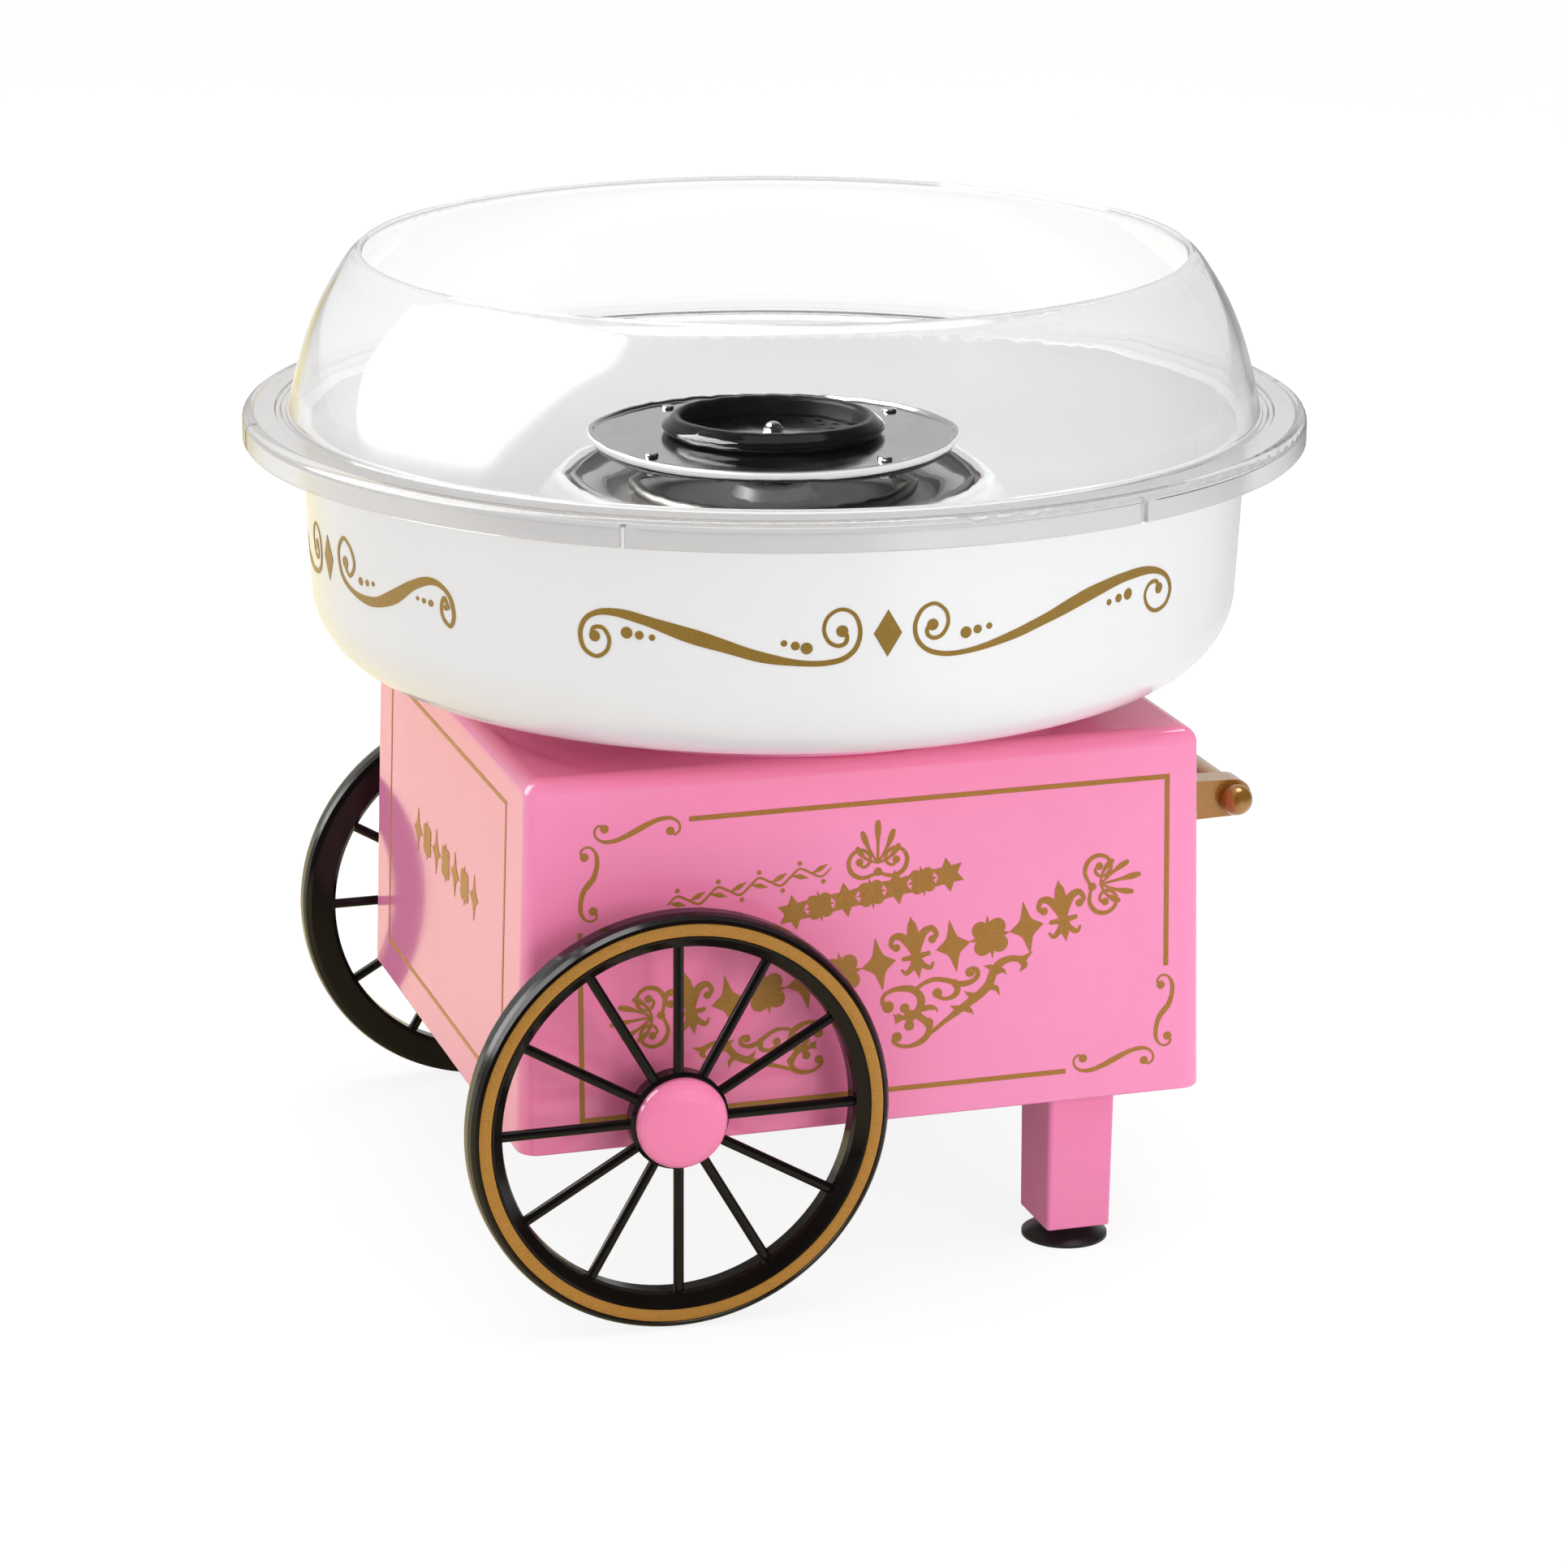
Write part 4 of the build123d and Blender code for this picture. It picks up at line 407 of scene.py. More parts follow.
# pieces whose finish is not the one their slot names
OWN_FINISH = {
    # the legs take a darker copy of the pink plastic as painted shade
    "leg_near": "leg_plastic", "leg_far": "leg_plastic",
    # the hub and dish under the disc wear a dark copy of the aluminium as painted shade
    "head_hub": "head_underside", "head_dish": "head_underside",
    "head_rivets": "head_aluminium",
    "hub_cap_near": "hub_plastic", "hub_cap_far": "hub_plastic",
    "sugar_ring": "ring_plastic",
}
for piece_name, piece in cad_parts.items():
    for slot in piece.material_slots:
        finish = OWN_FINISH.get(piece_name) or slot.material.name.split(".")[0]
        if finish in MATERIALS:
            slot.material = MATERIALS[finish]


# ---------------------------------------------------------------------------
# flat ornament: closed outlines in millimetres, joined, then laid on a surface
# ---------------------------------------------------------------------------
def between(now, start, end, a, b):
    """a at start, b at end."""
    return (end - now) / (end - start) * a + (now - start) / (end - start) * b


def smooth(points, per):
    """A centripetal curve through the points, with `per` steps to each gap."""
    closest = 0.08  # steps shorter than this are left out
    p = np.array(points, float)
    p = np.vstack([2 * p[0] - p[1], p, 2 * p[-1] - p[-2]])
    curve = []
    for i in range(1, len(p) - 2):
        near = p[i - 1:i + 3]
        gaps = [max(1e-6, np.linalg.norm(near[k + 1] - near[k])) ** 0.5 for k in range(3)]
        knots = np.concatenate([[0.0], np.cumsum(gaps)])
        for now in np.linspace(knots[1], knots[2], per, endpoint=False):
            first = [between(now, knots[k], knots[k + 1], near[k], near[k + 1])
                     for k in range(3)]
            second = [between(now, knots[k], knots[k + 2], first[k], first[k + 1])
                      for k in range(2)]
            curve.append(between(now, knots[1], knots[2], *second))
    curve.append(p[-2])
    curve = np.array(curve)
    keep = [0]
    for i in range(1, len(curve)):
        if np.linalg.norm(curve[i] - curve[keep[-1]]) > closest:
            keep.append(i)
    if keep[-1] != len(curve) - 1:
        keep[-1] = len(curve) - 1
    return curve[keep]


def stroke(points, widths, per):
    """A round-ended outline about a centre line; widths are (share of length, full width)."""
    centre = smooth(points, per)
    steps = np.linalg.norm(np.diff(centre, axis=0), axis=1)
    share = np.concatenate([[0], np.cumsum(steps)])
    share = share / share[-1]
    table = np.array(widths, float)
    starts, lengths = table[:-1, 0], np.diff(table[:, 0])
    ease = np.clip((share[:, None] - starts[None]) / np.maximum(1e-9, lengths[None]), 0, 1)
    ease = ease * ease * (3 - 2 * ease)
    half = (table[0, 1] + (np.diff(table[:, 1])[None] * ease).sum(1)) / 2
    along = np.gradient(centre, axis=0)
    along /= np.linalg.norm(along, axis=1)[:, None]
    across = np.stack([-along[:, 1], along[:, 0]], 1)
    left, right = centre + across * half[:, None], centre - across * half[:, None]

    def cap(middle, side, radius):
        steps = 6 if radius > 0.15 else 3
        start = math.atan2(side[1], side[0])
        angles = [start - math.pi * i / steps for i in range(1, steps)]
        return [middle + radius * np.array([math.cos(a), math.sin(a)]) for a in angles]

    end_cap = cap(centre[-1], across[-1], half[-1])
    start_cap = cap(centre[0], -across[0], half[0])
    return np.array(list(left) + end_cap + list(right[::-1]) + start_cap)[::-1]


def disc(x, y, radius):
    angles = np.linspace(0, 2 * np.pi, 28, endpoint=False)
    return np.stack([x + radius * np.cos(angles), y + radius * np.sin(angles)], 1)


def line(start, end, width):
    start, end = np.array(start, float), np.array(end, float)
    along = (end - start) / np.linalg.norm(end - start)
    side = np.array([-along[1], along[0]]) * width / 2
    return np.array([start - side, end - side, end + side, start + side])


def heading(degrees):
    return np.array([math.cos(math.radians(degrees)), math.sin(math.radians(degrees))])


def place(shapes, at, turn=0.0, size=1.0, mirror=False):
    """Turns, scales and moves outlines; mirror flips left and right first."""
    cos, sin = heading(turn)
    placed = []
    for shape in shapes:
        shape = np.array(shape, float)
        if mirror:
            shape = (shape * np.array([-1.0, 1.0]))[::-1]
        x, y = (shape * size).T
        placed.append(np.stack([x * cos - y * sin + at[0], x * sin + y * cos + at[1]], 1))
    return placed


def join(shapes):
    """The union of overlapping outlines as points and triangles."""
    points, outlines = [], []
    for shape in shapes:
        outlines.append(list(range(len(points), len(points) + len(shape))))
        points += [Vector((float(x), float(y))) for x, y in shape]
    result = delaunay_2d_cdt(points, [], outlines, 0, 1e-5)
    flat, triangles, sources = result[0], result[2], result[5]
    inside = [triangle for triangle, source in zip(triangles, sources) if source]
    return np.array([(p.x, p.y) for p in flat]), inside


def add_print(name, mesh, sharp_degrees, material, body):
    """Shades a print's mesh and fixes it to the piece it is printed on."""
    mesh.polygons.foreach_set("use_smooth", [True] * len(mesh.polygons))
    mesh.set_sharp_from_angle(angle=math.radians(sharp_degrees))
    printed = bpy.data.objects.new(name, mesh)
    scene.collection.objects.link(printed)
    mesh.materials.append(MATERIALS[material])
    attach(printed, body)


PRINT_PROUD, PRINT_SUNK = 0.12, 0.08  # how far a print stands out of its wall and goes into it


def lay(name, shapes, surface, body, material):
    """Makes the joined outlines a thin closed skin; surface(x, z, proud) gives millimetres."""
    flat, triangles = join(shapes)
    used = sorted({i for triangle in triangles for i in triangle})
    index = {i: k for k, i in enumerate(used)}
    count = len(used)
    top = [surface(*flat[i], PRINT_PROUD) for i in used]
    bottom = [surface(*flat[i], -PRINT_SUNK) for i in used]
    faces, edges = [], {}
    for triangle in triangles:
        a, b, c = (flat[i] for i in triangle)
        corners = [index[i] for i in triangle]
        if (b[0] - a[0]) * (c[1] - a[1]) - (b[1] - a[1]) * (c[0] - a[0]) < 0:
            corners = corners[::-1]
        faces.append(tuple(corners))
        faces.append(tuple(count + i for i in reversed(corners)))
        edges.update({(corners[i], corners[(i + 1) % 3]): True for i in range(3)})
    for a, b in edges:
        if (b, a) not in edges:  # an outer edge gets a side wall
            faces.append((b, a, count + a, count + b))
    mesh = bpy.data.meshes.new(name)
    mesh.from_pydata([tuple(c * MM for c in p) for p in top + bottom], [], faces)
    mesh.validate()
    mesh.update()
    add_print(name, mesh, 40, material, body)


# ---------------------------------------------------------------------------
# scrolls round the bowl: x is millimetres of arc from a diamond, z is height
# ---------------------------------------------------------------------------
BOWL_RADIUS, BOWL_RADIUS_Z = 129.3, 179.5  # the wall's radius, and the height it is taken at
BOWL_FLARE = 1.9 / 42.1                    # growth in radius per millimetre of height
ARC_PER_DEGREE = 130.2 * math.pi / 180     # on the printed band
DOT_RADII = (1.55, 1.15, 0.85)             # three dots by each curl, shrinking towards the arm


def on_bowl(x, z, proud):
    angle = math.radians(x / ARC_PER_DEGREE)
    radius = BOWL_RADIUS + (z - BOWL_RADIUS_Z) * BOWL_FLARE + proud
    return (radius * math.cos(angle), radius * math.sin(angle), z)


def bowl_right_arm(reach):
    """A curl by the diamond, a swelling S and a curl at the far end; drawn for a reach of 93."""
    drawn_reach, arm_start, outer_length = 93.0, 22.0, 14.0
    inner = [(11.8, 196.3), (10.5, 195.3), (10.6, 193.7), (12.2, 192.6), (14.4, 193.2),
             (16.1, 196.2), (15.4, 199.6), (12.3, 201.8), (9.1, 200.6), (7.2, 196.6),
             (7.9, 192.5), (10.5, 189.7), (15.0, 188.2), (21.9, 188.3)]
    arm = [(33.0, 190.6), (45.5, 194.4), (58.8, 198.6), (73.0, 201.2)]
    outer = [(84.0, 200.8), (90.6, 197.8), (92.8, 193.8), (91.0, 190.4), (86.2, 189.3),
             (82.2, 191.6), (81.0, 194.8), (82.6, 197.2), (85.8, 197.4), (87.3, 195.2)]
    fixed = arm_start + outer_length
    stretch = (reach - fixed) / (drawn_reach - fixed)
    shift = reach - drawn_reach
    points = inner + [(arm_start + (x - arm_start) * stretch, z) for x, z in arm]
    points += [(x + shift, z) for x, z in outer]
    widths = [(0.0, 1.1), (0.10, 0.95), (0.30, 1.35), (0.44, 2.6), (0.56, 3.7), (0.68, 2.6),
              (0.80, 1.3), (0.93, 1.0), (1.0, 1.1)]
    shapes = [stroke(points, widths, per=10), disc(11.9, 196.2, 1.55),
              disc(87.2 + shift, 195.3, 1.5)]
    for i, radius in enumerate(DOT_RADII):
        shapes.append(disc(21.2 + 3.3 * i, 193.3 + 0.55 * i, radius))
        shapes.append(disc(reach - 19.3 - 3.6 * i, 196.2 - 0.5 * i, radius))
    return shapes


def bowl_left_arm(reach, inner_dots):
    """The left arm, its outer curl hanging under its end; drawn for a reach of 80."""
    shift = reach - 80.0
    inner = [(11.8, 195.9), (10.7, 194.4), (11.0, 192.6), (12.8, 191.8), (15.2, 192.9),
             (16.6, 196.0), (15.6, 199.6), (12.3, 201.5), (9.0, 200.2), (7.3, 196.0),
             (8.3, 191.2), (11.4, 188.4), (16.5, 187.3), (22.6, 187.4)]
    arm = [(32.6 + 0.3 * shift, 189.0), (42.9 + 0.5 * shift, 192.0), (53.3 + 0.7 * shift, 194.9)]
    outer = [(63.8, 197.9), (70.3, 199.1), (75.3, 198.7), (78.7, 196.6), (80.2, 192.8),
             (79.1, 188.6), (75.8, 186.9), (73.0, 188.6), (72.2, 192.0), (74.0, 194.7),
             (76.4, 194.5), (77.1, 192.6)]
    points = inner + arm + [(x + shift, z) for x, z in outer]
    widths = [(0.0, 1.1), (0.12, 0.95), (0.34, 1.5), (0.46, 3.0), (0.57, 4.0), (0.68, 2.6),
              (0.80, 1.3), (0.93, 1.0), (1.0, 1.1)]
    shapes = [stroke([(-x, z) for x, z in points], widths, per=10), disc(-11.9, 195.7, 1.55),
              disc(-(76.2 + shift), 192.3, 1.5)]
    for i, radius in enumerate(DOT_RADII):
        if inner_dots:
            shapes.append(disc(-(21.0 + 2.9 * i), 191.3 + 0.7 * i, radius))
        shapes.append(disc(-(67.4 + shift - 3.4 * i), 193.9 - 0.4 * i, radius))
    return shapes


def bowl_short_arm(centre):
    """The short right arm on the far left of the bowl; centre is the diamond's angle."""
    # (degrees round the bowl, z)
    path = [(-169.2, 194.6), (-168.2, 193.2), (-166.8, 196.8), (-167.7, 201.3), (-169.5, 203.0),
            (-171.3, 198.7), (-170.7, 192.6), (-167.7, 189.3), (-162.6, 188.7), (-158.1, 192.1),
            (-154.0, 197.3), (-151.1, 199.6), (-149.3, 199.2), (-147.8, 196.5), (-147.3, 191.2),
            (-147.9, 188.6), (-149.0, 190.5), (-149.2, 193.7), (-148.7, 196.0), (-148.1, 193.6)]
    # (degrees round the bowl, z, radius)
    dots = [(-169.3, 196.4, 1.7), (-148.5, 193.4, 0.8), (-165.3, 193.1, 1.15),
            (-163.7, 193.4, 0.9), (-162.3, 193.8, 0.7), (-153.3, 194.0, 0.6),
            (-152.2, 193.8, 0.75), (-151.0, 193.6, 0.95)]
    widths = [(0.0, 1.2), (0.12, 1.1), (0.35, 1.5), (0.46, 2.7), (0.57, 3.9), (0.68, 2.6),
              (0.80, 1.3), (0.93, 1.1), (1.0, 1.2)]
    shapes = [stroke([((a - centre) * ARC_PER_DEGREE, z) for a, z in path], widths, per=10)]
    return shapes + [disc((a - centre) * ARC_PER_DEGREE, z, radius) for a, z, radius in dots]


def bowl_unit(centre, left, right):
    """A diamond between two arms. Angles are in degrees; right is None for the short arm."""
    middle_z, half_width, half_height = 194.7, 3.7, 6.3
    diamond = np.array([(-half_width, middle_z), (0.0, middle_z - half_height),
                        (half_width, middle_z), (0.0, middle_z + half_height)])
    if right is None:
        right_arm = bowl_short_arm(centre)
    else:
        right_arm = bowl_right_arm(right * ARC_PER_DEGREE)
    left_arm = bowl_left_arm(left * ARC_PER_DEGREE, inner_dots=right is not None)
    return place([diamond] + right_arm + left_arm, at=(centre * ARC_PER_DEGREE, 0.0))


# degrees: (diamond, reach of the left arm, reach of the right arm)
BOWL_UNITS = ((-94.4, 35.3, 41.0), (-175.2, 34.0, None), (15.5, 34.0, 34.0), (100.5, 34.0, 34.0))
bowl_shapes = []
for unit in BOWL_UNITS:
    bowl_shapes += bowl_unit(*unit)
lay("bowl_print", bowl_shapes, on_bowl, "bowl", "gold_ink_bowl")


# ---------------------------------------------------------------------------
# box walls: x runs to the right as the wall is faced, z is height
# ---------------------------------------------------------------------------
WALL_FOOT_Z, WALL_HEIGHT, WALL_LEAN = 45.8, 103.26, 3.2  # walls lean in by WALL_LEAN at the top
FOOT_Y, FOOT_LEFT_X, FOOT_RIGHT_X = 88.6, -97.4, 98.4    # where the walls stand at their foot


def lean(z):
    return WALL_LEAN * (z - WALL_FOOT_Z) / WALL_HEIGHT


def on_front(x, z, proud):
    return (x, -(FOOT_Y - lean(z)) - proud, z)


def on_back(x, z, proud):
    return (-x, (FOOT_Y - lean(z)) + proud, z)


def on_left_end(x, z, proud):
    return (FOOT_LEFT_X + lean(z) - proud, -x, z)


def on_right_end(x, z, proud):
    return (FOOT_RIGHT_X - lean(z) + proud, x, z)


# ---------------------------------------------------------------------------
# motifs of the box prints
# ---------------------------------------------------------------------------
def s_scroll(length, height=2.3):
    """A slender S lying along x with a ball curled into each end."""
    points = [(3.3, 0.55 * height), (2.0, 0.95 * height), (0.75, 0.55 * height),
              (0.75, -0.25 * height), (2.6, -0.95 * height), (5.6, -1.05 * height),
              (9.0, -0.62 * height), (length / 2, 0.0)]
    points += [(length - x, -y) for x, y in reversed(points[:-1])]
    widths = [(0.0, 0.6), (0.14, 0.55), (0.3, 1.15), (0.5, 1.55), (0.7, 1.15), (0.86, 0.55),
              (1.0, 0.6)]
    return [stroke(points, widths, per=8), disc(3.3, 0.5 * height, 1.15),
            disc(length - 3.3, -0.5 * height, 1.15)]


def palmette():
    """A fan of five clubbed petals over two curls, standing on a bead at the origin."""
    petal_foot = 3.4
    # (direction in degrees, tip distance, width, sideways bend)
    petals = ((90, 14.6, 1.75, 0.0), (117, 12.9, 1.65, 0.35), (63, 12.9, 1.65, -0.35),
              (143, 10.6, 1.55, 0.8), (37, 10.6, 1.55, -0.8))
    shapes = [disc(0.0, 0.9, 1.15)]
    for angle, length, width, bend in petals:
        along = heading(angle)
        side = np.array([-along[1], along[0]])
        foot = np.array([0.0, petal_foot])
        points = [foot + along * t * (length - petal_foot)
                  + side * bend * math.sin(math.pi * t) * 1.2 for t in (0.0, 0.3, 0.6, 0.85, 1.0)]
        widths = [(0, 0.55), (0.45, 0.75), (0.85, width), (1.0, width * 0.8)]
        shapes.append(stroke(points, widths, per=5))
    curl = [(0.0, 0.8), (1.6, 0.1), (4.6, -0.5), (7.4, 1.1), (8.3, 4.0), (6.9, 6.6), (4.3, 7.2),
            (2.3, 5.6), (2.5, 3.4), (4.2, 2.5), (5.4, 3.6)]
    for side in (-1, 1):
        shapes.append(stroke([(side * x, y) for x, y in curl],
                             [(0, 0.8), (0.3, 1.25), (0.6, 0.95), (1.0, 0.75)], per=7))
        shapes.append(disc(side * 5.2, 3.9, 1.05))
    return shapes


def quatrefoil(radius):
    """Four round lobes on the diagonals with a spike between each two."""
    shapes = [disc(0, 0, radius * 0.36)]
    for angle in (45, 135, 225, 315):
        x, y = heading(angle) * radius * 0.56
        shapes.append(disc(x, y, radius * 0.40))
    for angle in (0, 90, 180, 270):
        along = heading(angle)
        shapes.append(stroke([along * 0.2, along * radius * 0.62, along * radius * 1.0],
                             [(0, radius * 0.34), (0.6, radius * 0.2), (1.0, 0.12)], per=5))
    return shapes


def lozenge(width, height):
    """A diamond with hollowed sides; width and height are half sizes."""
    tips = [(width, 0), (0, height), (-width, 0), (0, -height)]
    points = []
    for i, (x0, y0) in enumerate(tips):
        x1, y1 = tips[(i + 1) % 4]
        for t in np.linspace(0, 1, 9, endpoint=False):
            hollow = 1.0 - 0.34 * math.sin(math.pi * t)
            points.append(((x0 + (x1 - x0) * t) * hollow, (y0 + (y1 - y0) * t) * hollow))
    return [np.array(points)]


def lily(height):
    """A pointed leaf between two that curl over, on a bar above a tail and two rootlets."""
    shapes = [stroke([(0, -1.6), (0, 1.0), (0, height * 0.55), (0, height)],
                     [(0, 1.2), (0.45, 3.6), (0.75, 2.6), (1.0, 0.2)], per=6)]
    leaf = [(0.7, -1.4), (1.7, 1.6), (3.1, 4.0), (5.3, 4.5), (6.3, 2.6), (5.2, 1.2)]
    rootlet = [(0.5, -2.6), (1.6, -4.8), (3.4, -6.0), (4.3, -4.9)]
    for side in (-1, 1):
        shapes.append(stroke([(side * x, y) for x, y in leaf],
                             [(0, 1.0), (0.45, 2.1), (0.8, 1.3), (1.0, 1.1)], per=6))
        shapes.append(disc(side * 5.0, 1.5, 1.05))
        shapes.append(stroke([(side * x, y) for x, y in rootlet],
                             [(0, 1.5), (0.5, 1.5), (1.0, 0.7)], per=6))
    shapes.append(stroke([(0, -2.2), (0, -5.0), (0, -8.0)],
                         [(0, 1.8), (0.5, 2.2), (1.0, 0.2)], per=6))
    shapes.append(stroke([(-3.4, -2.0), (0, -2.2), (3.4, -2.0)],
                         [(0, 1.2), (0.5, 1.6), (1.0, 1.2)], per=6))
    return shapes


def star(radius, inner, tips=6):
    """A star; inner is the share of the radius between the tips."""
    points = []
    for i in range(tips * 2):
        angle = math.pi / 2 + math.pi * i / tips
        reach = radius if i % 2 == 0 else radius * inner
        points.append((reach * math.cos(angle), reach * math.sin(angle)))
    return [np.array(points)]


def vine(length, waves, swing, width):
    """A thin running line with a leaf and a berry in each bend."""
    count = waves * 4
    points = [(length * i / count, swing * math.sin(2 * math.pi * i / 4))
              for i in range(count + 1)]
    shapes = [stroke(points, [(0, 0.3), (0.1, width), (0.9, width), (1.0, 0.3)], per=6)]
    step = length / waves / 2
    for i in range(waves * 2):
        x = step * (i + 0.5)
        side = 1 if i % 2 == 0 else -1
        leaf = [(x - step * 0.42, side * swing * 0.15), (x - step * 0.05, -side * swing * 0.25),
                (x + step * 0.34, -side * swing * 0.75)]
        shapes.append(stroke(leaf, [(0, 0.3), (0.55, width * 2.3), (1.0, 0.25)], per=6))
        shapes.append(disc(x + step * 0.05, side * (swing + 1.5), 0.62))
    return shapes


# The filigree on the front wall, in wall millimetres.
# (centre line, widths, ball (x, z, radius) or None)
FILIGREE_SCROLLS = (
    ([(5.945, 77.906), (4.384, 79.140), (4.603, 81.349), (6.921, 82.653), (10.077, 82.965),
      (13.281, 82.159), (15.161, 79.973), (15.150, 77.562), (13.969, 75.613), (12.438, 74.434)],
     [(0, 1.4), (0.2, 1.0), (0.6, 2.0), (0.85, 2.2), (1.0, 1.6)], (5.857, 78.098, 1.65)),
    ([(8.389, 69.294), (7.362, 68.335), (8.607, 67.051), (11.411, 66.351), (14.550, 67.035),
      (17.042, 68.882), (17.738, 71.054), (16.247, 73.396), (13.994, 75.055)],
     [(0, 1.0), (0.25, 1.0), (0.6, 1.7), (1.0, 1.9)], (8.389, 69.294, 1.4)),
    ([(16.463, 68.556), (18.964, 70.217), (22.036, 72.390), (25.497, 74.719), (28.958, 77.047),
      (32.800, 79.717), (34.879, 81.967), (35.947, 84.667), (37.810, 87.305), (41.122, 88.532),
      (44.509, 88.084), (47.205, 89.804)],
     [(0, 1.0), (0.15, 1.2), (0.35, 2.1), (0.5, 2.4), (0.68, 2.4), (0.85, 1.7), (0.93, 1.6),
      (1.0, 0.3)], None),
    ([(13.671, 82.315), (15.981, 83.805), (19.111, 84.675), (22.705, 84.025), (26.328, 82.742),
      (29.488, 82.942), (31.480, 84.457), (31.326, 86.139), (29.915, 86.693), (29.040, 85.871)],
     [(0, 1.0), (0.35, 1.3), (0.6, 1.6), (0.8, 1.3), (1.0, 1.2)], (29.361, 85.772, 1.35)),
    ([(24.916, 83.297), (25.803, 81.188), (24.884, 79.589), (22.538, 78.881), (20.448, 79.563),
      (19.766, 80.654)],
     [(0, 1.8), (0.3, 1.6), (0.7, 1.0), (1.0, 1.1)], (19.961, 80.713, 1.35)),
)
# (x, z, radius)
FILIGREE_BERRIES = ((10.647, 77.281, 1.35), (11.941, 72.246, 1.4), (8.860, 74.711, 1.15),
                    (12.098, 74.942, 1.7))
# (centre line, widths)
FILIGREE_STEMS = (
    ([(12.098, 74.942), (10.740, 76.977)], [(0, 1.4), (1, 1.2)]),
    ([(12.098, 74.942), (11.941, 72.246)], [(0, 1.4), (1, 1.2)]),
    ([(12.098, 74.942), (8.865, 74.600), (7.547, 75.741)], [(0, 1.4), (0.7, 1.1), (1, 0.4)]),
    ([(8.865, 74.600), (8.057, 73.178)], [(0, 1.1), (1, 0.4)]),
)
# (centre line, width)
FILIGREE_LEAVES = (
    ([(15.708, 76.591), (17.875, 76.868), (19.683, 76.283), (20.003, 75.331)], 1.5),
    ([(16.437, 73.567), (18.251, 72.869), (18.587, 71.545)], 1.2),
    ([(27.435, 75.681), (29.248, 74.984), (30.371, 73.784)], 1.5),
    ([(27.054, 75.340), (25.440, 75.984), (23.753, 76.524)], 1.4),
    ([(31.658, 78.693), (29.657, 79.145), (27.818, 80.400)], 1.6),
    ([(34.722, 81.052), (36.928, 80.436), (37.845, 78.509)], 1.5),
    ([(36.526, 84.993), (38.688, 85.382), (39.811, 84.182)], 1.5),
    ([(36.319, 85.195), (35.268, 86.575), (33.462, 87.086)], 1.5),
    ([(43.913, 88.130), (44.981, 86.377), (43.753, 84.618)], 1.9),
)


def filigree():
    """A leafy scroll rising to the right from a pair of curls."""
    shapes = []
    for points, widths, ball in FILIGREE_SCROLLS:
        shapes.append(stroke(points, widths, per=7))
        if ball:
            shapes.append(disc(*ball))
    shapes += [disc(*berry) for berry in FILIGREE_BERRIES]
    shapes += [stroke(points, widths, per=7) for points, widths in FILIGREE_STEMS]
    shapes += [stroke(points, [(0, width), (0.45, width), (1.0, 0.25)], per=7)
               for points, width in FILIGREE_LEAVES]
    return shapes


# ---------------------------------------------------------------------------
# printed panels of the box
# ---------------------------------------------------------------------------
LONG_FRAME_WIDTH = 1.35
FRAME_TOP = line((-49.8, 135.7), (86.6, 136.1), LONG_FRAME_WIDTH)
FRAME_RIGHT = line((85.95, 136.7), (86.5, 82.3), LONG_FRAME_WIDTH)
FRAME_LEFT = line((-80.3, 54.0), (-80.2, 107.0), LONG_FRAME_WIDTH)


def frame_bottom(start_x, end_x):
    return line((start_x, 54.6), (end_x, 54.6), LONG_FRAME_WIDTH)


def corner_scrolls():
    """S scrolls along both sides of the top left and bottom right corners."""
    across, down = s_scroll(24.6), s_scroll(21.5, height=2.2)
    return (place(across, at=(-76.4, 133.7), turn=1.0)
            + place(across, at=(59.2, 56.6))
            + place(down, at=(-77.6, 109.4), turn=-90.0, mirror=True)
            + place(down, at=(86.2, 58.6), turn=-90.0, mirror=True))


ROW_RISE = 8.6  # degrees by which the rows climb to the right


def on_row(x, up, foot):
    """A point on a rising row: x along it and up from its base line, which starts at foot."""
    cos, sin = heading(ROW_RISE)
    return (foot[0] + x * cos - up * sin, foot[1] + x * sin + up * cos)


def broad_row():
    """Lilies, lozenges and quatrefoils in turn."""
    kinds = ("lily", "lozenge", "quatrefoil", "lozenge", "quatrefoil", "lozenge", "lily",
             "lozenge", "quatrefoil", "lozenge", "lily")
    start, pitch = 3.2, 10.72
    # kind: (outlines, height of the middle above the base line, size)
    motifs = {"lily": (lily(8.8), 8.2, 1.04), "lozenge": (lozenge(4.9, 7.6), 6.4, 1.0),
              "quatrefoil": (quatrefoil(6.1), 6.4, 1.0)}
    shapes = []
    for i, kind in enumerate(kinds):
        motif, up, size = motifs[kind]
        at = on_row(start + pitch * i, up, foot=(-52.0, 75.6))
        shapes += place(motif, at=at, turn=ROW_RISE, size=size)
    return shapes


def narrow_row():
    """Stars and small quatrefoils in turn, above the broad row."""
    start, pitch = 3.0, 7.35
    shapes = []
    for i in range(7):
        motif = star(4.9, inner=0.55) if i % 2 == 0 else quatrefoil(4.3)
        at = on_row(start + pitch * i, 4.9, foot=(-23.0, 102.0))
        shapes += place(motif, at=at, turn=ROW_RISE)
    return shapes


